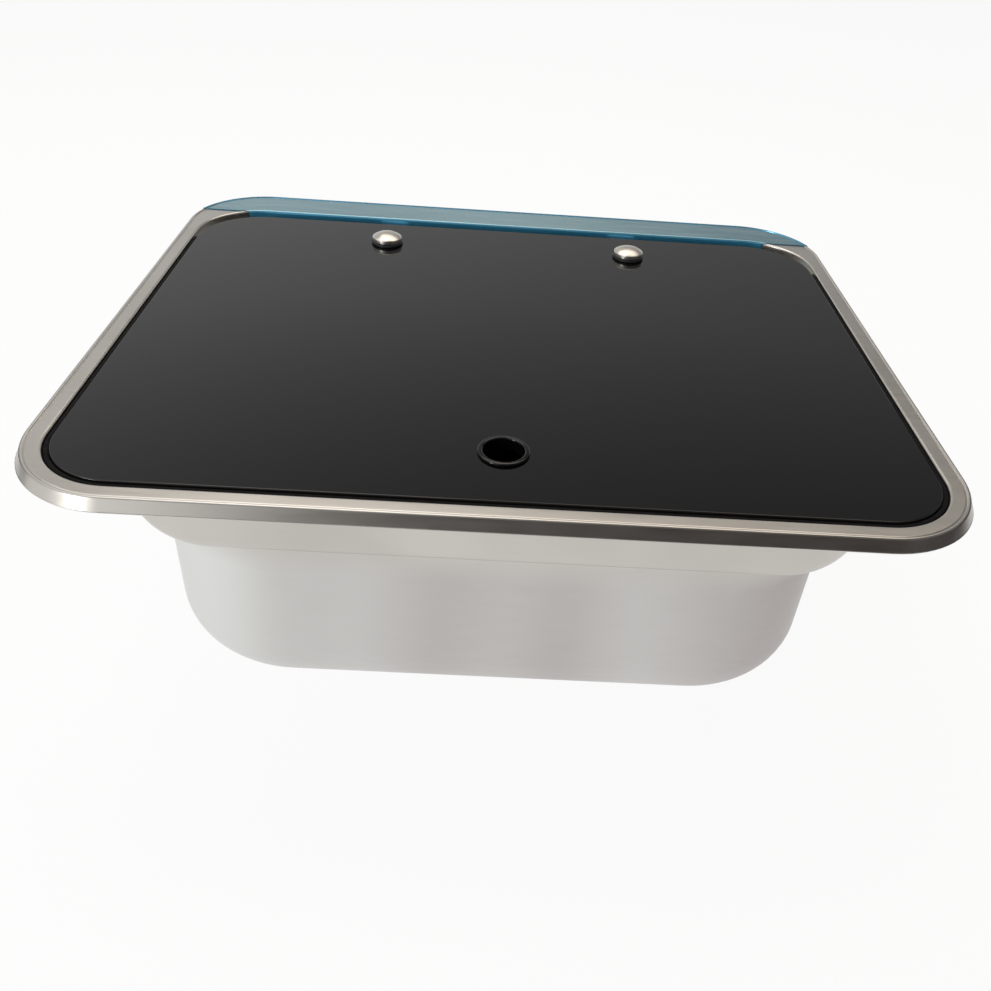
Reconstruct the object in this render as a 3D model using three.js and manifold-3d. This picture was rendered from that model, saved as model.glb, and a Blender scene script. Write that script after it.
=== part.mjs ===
// Drop-in sink for a motorhome galley: one pressed stainless basin with a tap shelf and a bowl,
// and a smoked tempered-glass lid that lies flush in the rim and swings up on two rear hinges.
// Millimetres. X runs to the right, Y to the rear and Z up. The origin is the middle of the
// worktop cut-out, in the plane of the worktop that the rim lies on.
import * as THREE from "three";
import { mergeVertices } from "three/addons/utils/BufferGeometryUtils.js";
import Module from "manifold-3d";

// ---------------------------------------------------------------- driving dimensions

const CLEARANCE = 0.3; // between pieces that seat on each other

// Rim
const RIM_WIDTH = 558;
const RIM_DEPTH = 470;
const RIM_CORNER = 66;
const RIM_HEIGHT = 8; // underside of the lip to the flat land
const SHEET = 1;
const LIP_RADIUS = 1; // flare of the cut edge
const FLANK_LEAN_ANGLE = 25; // from upright
const SHOULDER_RADIUS = 1.5;
const BEAD_HEIGHT = 0.6;
const BEAD_END_ANGLE = 72; // where the shoulder stops and the crease begins
const CREASE_WIDTH = 0.9;
const CREASE_DEPTH = 0.1;

// Recess that the lid lies in
const SIDE_MARGIN = 16; // lip to recess
const FRONT_MARGIN = 16;
const REAR_MARGIN = 39;
const RECESS_FRONT_CORNER = 48;
const RECESS_REAR_CORNER = 50;
const RECESS_EDGE_RADIUS = 1.6;
const RECESS_DRAFT = 0.3;
const LEDGE_RADIUS = 1.5;

// Tray, the shallow step that holds the hinges and a folded tap
const TRAY_SIDE_LEDGE = 26; // recess wall to tray wall
const TRAY_FRONT_LEDGE = 9;
const TRAY_REAR_LEDGE = 4.5;
const TRAY_DEPTH = 48; // below the land
const TRAY_FRONT_CORNER = 71;
const TRAY_REAR_CORNER = 50;
const TRAY_DRAFT = 7;
const TRAY_FRONT_DRAFT = 1;
const TRAY_FLOOR_RADIUS = 9;

// Bowl
const BOWL_WIDTH = 430;
const BOWL_LENGTH = 300; // front to rear
const BOWL_FRONT_STEP = 4; // tray wall to bowl wall at the front
const BOWL_DEPTH = 171.5; // below the land
const BOWL_CORNER = 86;
const BOWL_EDGE_RADIUS = 5;
const BOWL_DRAFT = 0.5;
const BOWL_FLOOR_RADIUS = 37;
const STEP_RADIUS = 1.3; // bends of the front step, across
const FLOOR_FALL = 4; // bowl floor to drain

// Drain
const DRAIN_RECESS_RADIUS = 44;
const DRAIN_RECESS_DEPTH = 5;
const DRAIN_HOLE_RADIUS = 31;
const DRAIN_BEND = 2.5;

// Tap hole in the shelf
const TAP_HOLE_RADIUS = 17.5;

// Glass lid
const GLASS_THICKNESS = 5;
const GLASS_GAP = 4; // front and sides
const GLASS_REAR_GAP = 13; // room for the hinge knuckles and for the rear edge to swing
const GLASS_REAR_CORNER = 50; // round enough to swing past the recess's rear corners
const GLASS_BEVEL = 0.6;
const FINGER_HOLE_RADIUS = 14;
const FINGER_HOLE_INSET = 48; // from the front edge of the glass

// Grommet of the finger hole
const GROMMET_WALL = 1.3;
const GROMMET_FLANGE = 1.9; // beyond the barrel
const GROMMET_TOP = 1.9;
const GROMMET_BOTTOM = 1.3;
const GROMMET_ROUND = 0.9;

// Lid gasket, an L section round the front and the sides
const GASKET_FOOT_THICKNESS = 2.4;
const GASKET_FOOT_WIDTH = 7;
const GASKET_LIP_DROP = 1.2; // below the land
const GASKET_REAR_END = 64; // ahead of the recess's rear wall

// Foam strip under the rim
const FOAM_INSET = 5;
const FOAM_WIDTH = 8;

// Protective film left on the rear rim
const FILM_THICKNESS = 0.4;
const FILM_OVERHANG = 3.5; // ahead of the recess's rear wall
const FILM_WALL_DROP = 6;

// Hinges
const HINGE_SPACING = 205;
const CAP_INSET = 42; // from the rear edge of the glass
const AXIS_BEHIND_GLASS = 4;
const AXIS_DEPTH = 5.5; // below the land
const PIN_RADIUS = 1.8;
const PIN_HEAD_RADIUS = 2.9;
const PIN_HEAD = 1.5;
const KNUCKLE_RADIUS = 3.6;
const ARM_THICKNESS = 2;
const ARM_WIDTH = 16;
const ARM_NOSE = 11; // plate ahead of the cap's centre
const EAR_THICKNESS = 2;
const EAR_RADIUS = 3.6;
const EAR_ROOT = 21; // width at the foot
const EAR_LEAN_ANGLE = 25; // where the ear's sides leave its round top
const FOOT_WIDTH = 44;
const FOOT_LENGTH = 26;
const FOOT_THICKNESS = 2;
const FOOT_SETBACK = 25; // rear end of the foot to the recess's rear wall
const FOOT_SCREW_SPACING = 32;

// Caps that clamp the glass to the arms
const CAP_RADIUS = 12.3;
const CAP_SIDE = 3;
const CAP_HEIGHT = 7;
const CAP_EDGE = 0.4;
const CAP_POST_RADIUS = 4.4;
const WASHER_RADIUS = 13;
const WASHER_THICKNESS = 1.8;
const COLLAR_WALL = 1;
const PAD_RADIUS = 9;
const PAD_THICKNESS = 1;

// Screws: M5 under the caps, M4 in the feet, M6 in the waste
const CAP_SCREW = { shank: 2.3, head: 4.5, headSide: 1.1, headHeight: 2.2 };
const FOOT_SCREW = { shank: 1.9, head: 3.6, headSide: 1, headHeight: 2 };
const WASTE_SCREW = { shank: 2.8, head: 6, headSide: 1, headHeight: 1.9 };
const HEAD_ROUND = 1.2; // side of the head to its flat top
const NUT_RADIUS = 3.9;
const NUT_HEIGHT = 3;
const THREAD_SHOWING = 1.7;

// Waste
const WASTE_FLANGE_RADIUS = 38.8;
const WASTE_FLANGE_THICKNESS = 1.2;
const WASTE_THROAT_RADIUS = 29;
const WASTE_CUP_RADIUS = 27.2;
const WASTE_CUP_DEPTH = 7.8; // below the seat in the basin
const WASTE_SLOTS = 8;
const WASTE_SLOT_WIDTH = 4;
const WASTE_SLOT_START = 9;
const WASTE_SLOT_END = 23;
const SEAL_THICKNESS = 1.5;
const LOWER_SEAL_THICKNESS = 2;
const SEAL_WIDTH = 6.5;
const TRAP_FLANGE_RADIUS = 40;
const TRAP_FLANGE_THICKNESS = 3;
const TRAP_RADIUS = 34;
const TRAP_WALL = 2.5;
const TRAP_HEIGHT = 44;
const TRAP_PILLAR_RADIUS = 7;
const TRAP_PILLAR_BORE_DEPTH = 25;
const OUTLET_RADIUS = 13;
const OUTLET_BORE = 8.5;
const OUTLET_REACH = 52; // drain centre to the end of the outlet
const OUTLET_DROP = 27; // below the trap's flange
const TAIL_FLANGE = 3;
const TAIL_LENGTH = 38;
const TAIL_RADIUS = 10.8;
const BARB_SETBACK = 2; // nut to the first barb
const BARB_HEIGHT = 1.4;
const BARB_RUN = 9; // slope of a barb, along the tail
const BARBS = 3;
const OUTLET_NUT_RADIUS = 18;
const OUTLET_NUT_LENGTH = 21;
const OUTLET_NUT_RIBS = 12;
const OUTLET_NUT_RIB_HEIGHT = 0.8;
const OUTLET_NUT_END = 3;

// Plug
const PLUG_RADIUS = 33;
const PLUG_DISC = 2.2;
const PLUG_BODY = 8.8;
const KNOB_RADIUS = 10;
const KNOB_HEIGHT = 10;
const KNOB_WAIST_RADIUS = 4;
const KNOB_WAIST_HEIGHT = 3;
const KNOB_BRIM_HEIGHT = 5.5;
const KNOB_EDGE = 1;
const KNOB_CROWN_RADIUS = 6;
const KNOB_STEM_RADIUS = 2.5;
const KNOB_STEM_DEPTH = 4.8;

// Facets
const CORNER_STEPS = 8;
const ROUND_SIDES = 4 * (CORNER_STEPS + 1);
const TURNED_SIDES = 20;
const SMALL_SIDES = 10;

// ---------------------------------------------------------------- shared levels and places

const LAND = CLEARANCE + RIM_HEIGHT; // the lip is a foam's squeeze above the worktop
const below = (depth) => LAND - depth;

const LEDGE_DEPTH = GLASS_THICKNESS + GASKET_FOOT_THICKNESS + 2 * CLEARANCE;
const DRAIN_SEAT_DEPTH = BOWL_DEPTH + FLOOR_FALL + DRAIN_RECESS_DEPTH;

// A plan is a rectangle with round corners, seen from above.
const rimPlan = {
  halfWidth: RIM_WIDTH / 2,
  front: -RIM_DEPTH / 2,
  rear: RIM_DEPTH / 2,
  frontCorner: RIM_CORNER,
  rearCorner: RIM_CORNER,
};
const recessPlan = {
  halfWidth: rimPlan.halfWidth - SIDE_MARGIN,
  front: rimPlan.front + FRONT_MARGIN,
  rear: rimPlan.rear - REAR_MARGIN,
  frontCorner: RECESS_FRONT_CORNER,
  rearCorner: RECESS_REAR_CORNER,
};
const trayPlan = {
  halfWidth: recessPlan.halfWidth - TRAY_SIDE_LEDGE,
  front: recessPlan.front + TRAY_FRONT_LEDGE,
  rear: recessPlan.rear - TRAY_REAR_LEDGE,
  frontCorner: TRAY_FRONT_CORNER,
  rearCorner: TRAY_REAR_CORNER,
};
const bowlPlan = {
  halfWidth: BOWL_WIDTH / 2,
  front: trayPlan.front + BOWL_FRONT_STEP,
  rear: trayPlan.front + BOWL_FRONT_STEP + BOWL_LENGTH,
  frontCorner: BOWL_CORNER,
  rearCorner: BOWL_CORNER,
};

const glassPlan = {
  halfWidth: recessPlan.halfWidth - GLASS_GAP,
  front: recessPlan.front + GLASS_GAP,
  rear: recessPlan.rear - GLASS_REAR_GAP,
  frontCorner: RECESS_FRONT_CORNER - GLASS_GAP,
  rearCorner: GLASS_REAR_CORNER,
};
const fingerHoleY = glassPlan.front + FINGER_HOLE_INSET;
const capY = glassPlan.rear - CAP_INSET;
const axisY = glassPlan.rear + AXIS_BEHIND_GLASS;
const axisZ = below(AXIS_DEPTH);
const drainY = (bowlPlan.front + bowlPlan.rear) / 2;
const drainSeatZ = below(DRAIN_SEAT_DEPTH);
const trayFloorZ = below(TRAY_DEPTH);
const footRear = recessPlan.rear - FOOT_SETBACK;
const tapY = (bowlPlan.rear + trayPlan.rear - TRAY_DRAFT - TRAY_FLOOR_RADIUS + BOWL_EDGE_RADIUS) / 2;

// ---------------------------------------------------------------- materials

const material = (color, roughness, metalness) =>
  new THREE.MeshStandardMaterial({ color, roughness, metalness });

const satinSteel = material(0xbdb8b0, 0.38, 1);
const hingeSteel = material(0xa9a9a8, 0.3, 1);
const chrome = material(0xe6e8ea, 0.08, 1);
const smokedGlass = material(0x1d1e1f, 0.05, 0);
const blackRubber = material(0x151314, 0.7, 0);
const glossBlack = material(0x101011, 0.25, 0);
const blackNylon = material(0x1b1a1a, 0.55, 0);
const greyFoam = material(0x3b3c3e, 0.95, 0);
const blueFilm = material(0x6f97ac, 0.3, 0);
const whitePlastic = material(0xd9d9d4, 0.5, 0);

// ---------------------------------------------------------------- solids

const wasm = await Module();
wasm.setup();

// A closed geometry as a solid that can be cut and joined, and back again.
function solid(geometry) {
  const bare = geometry.index ? geometry.toNonIndexed() : geometry.clone();
  bare.deleteAttribute("normal");
  bare.deleteAttribute("uv");
  const merged = mergeVertices(bare, 1e-4);
  return new wasm.Manifold(
    new wasm.Mesh({
      numProp: 3,
      vertProperties: merged.getAttribute("position").array,
      triVerts: new Uint32Array(merged.index.array),
    }),
  );
}

function geometryOf(body) {
  const mesh = body.getMesh();
  const geometry = new THREE.BufferGeometry();
  geometry.setAttribute("position", new THREE.BufferAttribute(mesh.vertProperties.slice(), 3));
  geometry.setIndex(new THREE.BufferAttribute(mesh.triVerts.slice(), 1));
  geometry.computeVertexNormals();
  return geometry;
}

// A round bar or a drill along X, Y or Z.
function bar(radius, length, centre, axis = "z", sides = TURNED_SIDES) {
  const geometry = new THREE.CylinderGeometry(radius, radius, length, sides);
  if (axis === "x") geometry.rotateZ(Math.PI / 2);
  if (axis === "z") geometry.rotateX(Math.PI / 2);
  return solid(geometry.translate(...centre));
}

function block(size, centre) {
  return solid(new THREE.BoxGeometry(...size).translate(...centre));
}

// A profile of [radius, height] points turned about the Z axis. An open profile starts and
// ends on the axis, and a ring's profile is closed by its first point.
function turned(profile, sides = TURNED_SIDES) {
  const points = profile.map(([radius, height]) => new THREE.Vector2(radius, height));
  if (profile[0][0] > 0) points.push(points[0].clone());
  return new THREE.LatheGeometry(points, sides).rotateX(Math.PI / 2);
}

const arcPoints = (centre, radius, from, to, steps) =>
  Array.from({ length: steps + 1 }, (_, i) => {
    const angle = THREE.MathUtils.degToRad(from + ((to - from) * i) / steps);
    return [centre[0] + radius * Math.cos(angle), centre[1] + radius * Math.sin(angle)];
  });

// ---------------------------------------------------------------- rings of the pressing

// How far a ring lies inside its plan, at the sides, the front and the rear.
const inset = (side, front = side, rear = side) => ({ side, front, rear });

// One closed ring of points, anticlockwise from above, starting at the front right corner.
function ring(plan, { side, front, rear }, z) {
  const corners = [
    [1, -1, plan.frontCorner, front],
    [1, 1, plan.rearCorner, rear],
    [-1, 1, plan.rearCorner, rear],
    [-1, -1, plan.frontCorner, front],
  ];
  return corners.flatMap(([right, back, radius, end], index) => {
    const across = radius - side;
    const along = radius - end;
    const x = right * (plan.halfWidth - radius);
    const y = back > 0 ? plan.rear - radius : plan.front + radius;
    return Array.from({ length: CORNER_STEPS + 1 }, (_, step) => {
      const angle = ((index - 1 + step / CORNER_STEPS) * Math.PI) / 2;
      return [x + across * Math.cos(angle), y + along * Math.sin(angle), z];
    });
  });
}

// The same number of points on a circle about the drain.
function drainRing(radius, z) {
  return Array.from({ length: ROUND_SIDES }, (_, step) => {
    const angle = ((step + 0.5) / ROUND_SIDES) * 2 * Math.PI - Math.PI / 2;
    return [radius * Math.cos(angle), drainY + radius * Math.sin(angle), z];
  });
}

// A bend of the sheet, as rings on the skin that lies `offset` above the show side. Angle 0
// points inwards, 90 up and 180 outwards. A bend under 180 is convex, seen from the show side.
function bend({ plan, at, z, radius, frontRadius = radius, from, to, steps }) {
  const convex = Math.max(from, to) <= 180;
  return (offset) => {
    const grown = convex ? offset : -offset;
    return Array.from({ length: steps + 1 }, (_, i) => {
      const angle = THREE.MathUtils.degToRad(from + ((to - from) * i) / steps);
      const reach = (radius + grown) * Math.cos(angle);
      const frontReach = (frontRadius + grown) * Math.cos(angle);
      const place = inset(at.side + reach, at.front + frontReach, at.rear + reach);
      return ring(plan, place, z + (radius + grown) * Math.sin(angle));
    });
  };
}

// A flat stretch of the sheet, and a round one about the drain.
const flat = (plan, at, z) => (offset) => [ring(plan, at, z + offset)];
const drainFlat = (radius, z) => (offset) => [drainRing(radius, z + offset)];

// Rings joined into a skin that closes on itself, with its faces out when the section runs
// inwards along the top and outwards along the bottom.
function looped(rings) {
  const count = rings[0].length;
  const positions = rings.flat(2);
  const index = [];
  rings.forEach((_, r) => {
    const here = r * count;
    const next = ((r + 1) % rings.length) * count;
    for (let j = 0; j < count; j += 1) {
      const k = (j + 1) % count;
      index.push(here + j, here + k, next + k, here + j, next + k, next + j);
    }
  });
  const geometry = new THREE.BufferGeometry();
  geometry.setAttribute("position", new THREE.Float32BufferAttribute(positions, 3));
  geometry.setIndex(index);
  return geometry;
}

// A section of [inset, height] points carried round a plan.
const swept = (plan, section) =>
  looped(section.map(([depth, height]) => ring(plan, inset(depth), height)));

// ---------------------------------------------------------------- basin

// The flank is the straight stretch between the lip and the shoulder, tangent to both bends.
const flankLean = THREE.MathUtils.degToRad(FLANK_LEAN_ANGLE);
const lipZ = CLEARANCE + SHEET + LIP_RADIUS;
const shoulderZ = LAND + BEAD_HEIGHT - SHOULDER_RADIUS;
const bothRadii = LIP_RADIUS + SHOULDER_RADIUS;
const flankRise = shoulderZ - lipZ + bothRadii * Math.sin(flankLean);
const shoulderInset = bothRadii * Math.cos(flankLean) + flankRise * Math.tan(flankLean);
const creaseInset = shoulderInset + SHOULDER_RADIUS * Math.cos(THREE.MathUtils.degToRad(BEAD_END_ANGLE));

const lip = bend({
  plan: rimPlan,
  at: inset(0),
  z: lipZ,
  radius: LIP_RADIUS,
  from: 270,
  to: 360 - FLANK_LEAN_ANGLE,
  steps: 1,
});
const shoulder = bend({
  plan: rimPlan,
  at: inset(shoulderInset),
  z: shoulderZ,
  radius: SHOULDER_RADIUS,
  from: 180 - FLANK_LEAN_ANGLE,
  to: BEAD_END_ANGLE,
  steps: 3,
});
const crease = flat(rimPlan, inset(creaseInset + CREASE_WIDTH), LAND - CREASE_DEPTH);
const landEdge = flat(rimPlan, inset(creaseInset + 2 * CREASE_WIDTH), LAND);
const recessEdge = bend({
  plan: recessPlan,
  at: inset(-RECESS_EDGE_RADIUS),
  z: LAND - RECESS_EDGE_RADIUS,
  radius: RECESS_EDGE_RADIUS,
  from: 90,
  to: 0,
  steps: 2,
});
const ledgeCorner = bend({
  plan: recessPlan,
  at: inset(RECESS_DRAFT + LEDGE_RADIUS),
  z: below(LEDGE_DEPTH) + LEDGE_RADIUS,
  radius: LEDGE_RADIUS,
  from: 180,
  to: 270,
  steps: 1,
});
const trayEdge = bend({
  plan: trayPlan,
  at: inset(-LEDGE_RADIUS),
  z: below(LEDGE_DEPTH) - LEDGE_RADIUS,
  radius: LEDGE_RADIUS,
  from: 90,
  to: 0,
  steps: 1,
});
const trayFloorCorner = bend({
  plan: trayPlan,
  at: inset(TRAY_DRAFT + TRAY_FLOOR_RADIUS, TRAY_FRONT_DRAFT + STEP_RADIUS),
  z: trayFloorZ + TRAY_FLOOR_RADIUS,
  radius: TRAY_FLOOR_RADIUS,
  frontRadius: STEP_RADIUS,
  from: 180,
  to: 270,
  steps: 4,
});
const bowlEdge = bend({
  plan: bowlPlan,
  at: inset(-BOWL_EDGE_RADIUS, -STEP_RADIUS),
  z: trayFloorZ - BOWL_EDGE_RADIUS,
  radius: BOWL_EDGE_RADIUS,
  frontRadius: STEP_RADIUS,
  from: 90,
  to: 0,
  steps: 2,
});
const bowlFloorCorner = bend({
  plan: bowlPlan,
  at: inset(BOWL_DRAFT + BOWL_FLOOR_RADIUS),
  z: below(BOWL_DEPTH) + BOWL_FLOOR_RADIUS,
  radius: BOWL_FLOOR_RADIUS,
  from: 180,
  to: 270,
  steps: 5,
});
const drainSeatInner = DRAIN_RECESS_RADIUS - 2 * DRAIN_BEND;
const drainSteps = [
  drainFlat(DRAIN_RECESS_RADIUS, below(BOWL_DEPTH + FLOOR_FALL)),
  drainFlat(DRAIN_RECESS_RADIUS - DRAIN_BEND, below(BOWL_DEPTH + FLOOR_FALL) - SHEET),
  drainFlat(drainSeatInner + SHEET, drainSeatZ + SHEET),
  drainFlat(drainSeatInner, drainSeatZ),
  drainFlat(DRAIN_HOLE_RADIUS, drainSeatZ),
];

const sheetRun = [
  lip,
  shoulder,
  crease,
  landEdge,
  recessEdge,
  ledgeCorner,
  trayEdge,
  trayFloorCorner,
  bowlEdge,
  bowlFloorCorner,
  ...drainSteps,
];
const skin = (run, offset) => run.flatMap((stretch) => stretch(offset));

const footScrewHoles = [-1, 1].flatMap((hinge) =>
  [-1, 1].map((side) => [
    (hinge * HINGE_SPACING + side * FOOT_SCREW_SPACING) / 2,
    footRear - FOOT_LENGTH / 2,
  ]),
);

function basinGeometry() {
  const pressing = solid(looped([...skin(sheetRun, 0), ...skin(sheetRun, -SHEET).reverse()]));
  const holes = footScrewHoles.map(([x, y]) =>
    bar(FOOT_SCREW.shank + CLEARANCE, 4 * SHEET, [x, y, trayFloorZ - SHEET / 2], "z", SMALL_SIDES),
  );
  holes.push(bar(TAP_HOLE_RADIUS, 4 * SHEET, [0, tapY, trayFloorZ - SHEET / 2], "z", ROUND_SIDES));
  return geometryOf(holes.reduce((body, hole) => body.subtract(hole), pressing));
}

// ---------------------------------------------------------------- seals and film

function rimFoamGeometry() {
  const top = LAND - CREASE_DEPTH - SHEET - CLEARANCE;
  return swept(rimPlan, [
    [FOAM_INSET, top],
    [FOAM_INSET + FOAM_WIDTH, top],
    [FOAM_INSET + FOAM_WIDTH, 0],
    [FOAM_INSET, 0],
  ]);
}

function lidGasketGeometry() {
  const wall = RECESS_DRAFT + CLEARANCE;
  const bottom = below(LEDGE_DEPTH) + CLEARANCE;
  const footTop = bottom + GASKET_FOOT_THICKNESS;
  const chamfer = LEDGE_RADIUS;
  const lipInner = GLASS_GAP - CLEARANCE;
  const whole = swept(recessPlan, [
    [wall, below(GASKET_LIP_DROP)],
    [lipInner, below(GASKET_LIP_DROP)],
    [lipInner, footTop],
    [wall + GASKET_FOOT_WIDTH, footTop],
    [wall + GASKET_FOOT_WIDTH, bottom],
    [wall + chamfer, bottom],
    [wall, bottom + chamfer],
  ]);
  const rearPart = block(
    [RIM_WIDTH, GASKET_REAR_END * 2, 4 * LEDGE_DEPTH],
    [0, recessPlan.rear, LAND],
  );
  return geometryOf(solid(whole).subtract(rearPart));
}

// The film follows the sheet from the foot of the flank to a little way down the recess wall.
function filmGeometry() {
  const flankFoot = (offset) => lip(offset).slice(-1);
  const wallEnd = (offset) => [
    ring(recessPlan, inset(RECESS_DRAFT + offset), below(FILM_WALL_DROP)),
  ];
  const run = [flankFoot, shoulder, crease, landEdge, recessEdge, wallEnd];
  const outer = skin(run, CLEARANCE + FILM_THICKNESS);
  const inner = skin(run, CLEARANCE).reverse();
  const kept = block([RIM_WIDTH * 2, RIM_DEPTH, RIM_HEIGHT * 4], [
    0,
    recessPlan.rear - FILM_OVERHANG + RIM_DEPTH / 2,
    LAND,
  ]);
  return geometryOf(solid(looped([...outer, ...inner])).intersect(kept));
}

// ---------------------------------------------------------------- lid

function glassGeometry() {
  const edge = GLASS_BEVEL;
  const left = -glassPlan.halfWidth + edge;
  const right = glassPlan.halfWidth - edge;
  const front = glassPlan.front + edge;
  const rear = glassPlan.rear - edge;
  const frontCorner = glassPlan.frontCorner - edge;
  const rearCorner = glassPlan.rearCorner - edge;
  const outline = new THREE.Shape();
  outline.absarc(right - frontCorner, front + frontCorner, frontCorner, -Math.PI / 2, 0);
  outline.absarc(right - rearCorner, rear - rearCorner, rearCorner, 0, Math.PI / 2);
  outline.absarc(left + rearCorner, rear - rearCorner, rearCorner, Math.PI / 2, Math.PI);
  outline.absarc(left + frontCorner, front + frontCorner, frontCorner, Math.PI, Math.PI * 1.5);
  const sheet = new THREE.ExtrudeGeometry(outline, {
    depth: GLASS_THICKNESS - 2 * edge,
    bevelThickness: edge,
    bevelSize: edge,
    bevelSegments: 1,
    curveSegments: CORNER_STEPS / 2, // an arc gets two facets for each
  });
  sheet.translate(0, 0, below(GLASS_THICKNESS) + edge);
  const drill = (radius, x, y) =>
    bar(radius, 3 * GLASS_THICKNESS, [x, y, LAND - GLASS_THICKNESS / 2]);
  const collarRadius = CAP_POST_RADIUS + CLEARANCE + COLLAR_WALL;
  return geometryOf(
    solid(sheet)
      .subtract(drill(FINGER_HOLE_RADIUS, 0, fingerHoleY))
      .subtract(drill(collarRadius + CLEARANCE, -HINGE_SPACING / 2, capY))
      .subtract(drill(collarRadius + CLEARANCE, HINGE_SPACING / 2, capY)),
  );
}

function grommetGeometry() {
  const barrel = FINGER_HOLE_RADIUS - CLEARANCE;
  const bore = barrel - GROMMET_WALL;
  const brim = barrel + GROMMET_FLANGE;
  const round = GROMMET_ROUND;
  const top = CLEARANCE + GROMMET_TOP;
  const under = -GLASS_THICKNESS - CLEARANCE;
  return turned(
    [
      [bore, under - GROMMET_BOTTOM],
      [brim, under - GROMMET_BOTTOM],
      [brim, under],
      [barrel, under],
      [barrel, CLEARANCE],
      [brim, CLEARANCE],
      ...arcPoints([brim - round, top - round], round, 0, 90, 2),
      ...arcPoints([bore + round, top - round], round, 90, 180, 2),
    ],
  );
}

// ---------------------------------------------------------------- hinge pieces

const washerTop = CLEARANCE + WASHER_THICKNESS;
const capBase = washerTop + CLEARANCE;
const padTop = -GLASS_THICKNESS - CLEARANCE;
const armTop = padTop - PAD_THICKNESS - CLEARANCE;
const armBottom = armTop - ARM_THICKNESS;
const collarEnd = -GLASS_THICKNESS + 2 * CLEARANCE;
const screwBore = CAP_SCREW.shank + CLEARANCE;

function capGeometry() {
  const domeRise = CAP_HEIGHT - CAP_SIDE;
  const domeTop = capBase + CAP_HEIGHT;
  const domeRadius = (CAP_RADIUS ** 2 + domeRise ** 2) / (2 * domeRise);
  const startAngle = THREE.MathUtils.radToDeg(Math.acos(CAP_RADIUS / domeRadius));
  const dome = arcPoints([0, domeTop - domeRadius], domeRadius, startAngle, 90, 4);
  return turned(
    [
      [0, CLEARANCE],
      [screwBore, CLEARANCE],
      [screwBore, collarEnd],
      [CAP_POST_RADIUS, collarEnd],
      [CAP_POST_RADIUS, capBase],
      [CAP_RADIUS - CAP_EDGE, capBase],
      [CAP_RADIUS, capBase + CAP_EDGE],
      ...dome.slice(0, -1),
      [0, domeTop],
    ],
  );
}

function capWasherGeometry() {
  const bore = CAP_POST_RADIUS + CLEARANCE;
  return turned(
    [
      [bore, collarEnd],
      [bore + COLLAR_WALL, collarEnd],
      [bore + COLLAR_WALL, CLEARANCE],
      [WASHER_RADIUS, CLEARANCE],
      [WASHER_RADIUS, washerTop],
      [bore, washerTop],
    ],
  );
}

function padGeometry() {
  return turned(
    [
      [screwBore, padTop - PAD_THICKNESS],
      [PAD_RADIUS, padTop - PAD_THICKNESS],
      [PAD_RADIUS, padTop],
      [screwBore, padTop],
    ],
  );
}

// Side view of the arm, in Y and Z about the hinge axis: a plate that ends in a rolled knuckle.
function armGeometry() {
  const nose = capY - ARM_NOSE - axisY;
  const plateTop = below(-armTop) - axisZ;
  const plateBottom = below(-armBottom) - axisZ;
  const topAngle = Math.PI - Math.asin(plateTop / KNUCKLE_RADIUS);
  const bottomAngle = -Math.PI - Math.asin(plateBottom / KNUCKLE_RADIUS);
  const side = new THREE.Shape();
  side.moveTo(nose, plateBottom);
  side.lineTo(nose, plateTop);
  side.absarc(0, 0, KNUCKLE_RADIUS, topAngle, bottomAngle, true);
  side.closePath();
  const profile = extrudedAcross(side, ARM_WIDTH, 6);
  const pinBore = bar(PIN_RADIUS + CLEARANCE, ARM_WIDTH * 2, [0, 0, 0], "x", SMALL_SIDES);
  const screwHole = bar(screwBore, 4 * ARM_THICKNESS, [0, capY - axisY, plateTop], "z", SMALL_SIDES);
  return geometryOf(solid(profile).subtract(pinBore).subtract(screwHole));
}

// A side view drawn in Y and Z, given its thickness along X, centred on X = 0.
function extrudedAcross(side, thickness, curveSegments) {
  const geometry = new THREE.ExtrudeGeometry(side, {
    depth: thickness,
    bevelEnabled: false,
    curveSegments,
  });
  geometry.translate(0, 0, -thickness / 2);
  return geometry.applyMatrix4(
    new THREE.Matrix4().makeBasis(
      new THREE.Vector3(0, 1, 0),
      new THREE.Vector3(0, 0, 1),
      new THREE.Vector3(1, 0, 0),
    ),
  );
}

const earInner = ARM_WIDTH / 2 + CLEARANCE;
const earOuter = earInner + EAR_THICKNESS;

// Folded bracket on the tap shelf: a foot with two ears that lean back to carry the pin.
function hingeBaseGeometry() {
  const footBottom = trayFloorZ + CLEARANCE - axisZ;
  const footEnd = footRear - axisY;
  const lean = THREE.MathUtils.degToRad(EAR_LEAN_ANGLE);
  const side = new THREE.Shape();
  side.moveTo(footEnd - EAR_ROOT, footBottom);
  side.lineTo(footEnd, footBottom);
  side.absarc(0, 0, EAR_RADIUS, -lean, Math.PI - lean, false);
  side.closePath();
  const ear = solid(extrudedAcross(side, EAR_THICKNESS, 7)).subtract(
    bar(PIN_RADIUS + CLEARANCE, EAR_THICKNESS * 2, [0, 0, 0], "x", SMALL_SIDES),
  );
  const shift = earInner + EAR_THICKNESS / 2;
  const footY = footEnd - FOOT_LENGTH / 2;
  let bracket = block(
    [FOOT_WIDTH, FOOT_LENGTH, FOOT_THICKNESS],
    [0, footY, footBottom + FOOT_THICKNESS / 2],
  );
  for (const hand of [-1, 1]) {
    bracket = bracket.add(ear.translate([hand * shift, 0, 0]));
  }
  for (const hand of [-1, 1]) {
    bracket = bracket.subtract(
      bar(
        FOOT_SCREW.shank + CLEARANCE,
        4 * FOOT_THICKNESS,
        [(hand * FOOT_SCREW_SPACING) / 2, footY, footBottom],
        "z",
        SMALL_SIDES,
      ),
    );
  }
  return geometryOf(bracket);
}

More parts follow.
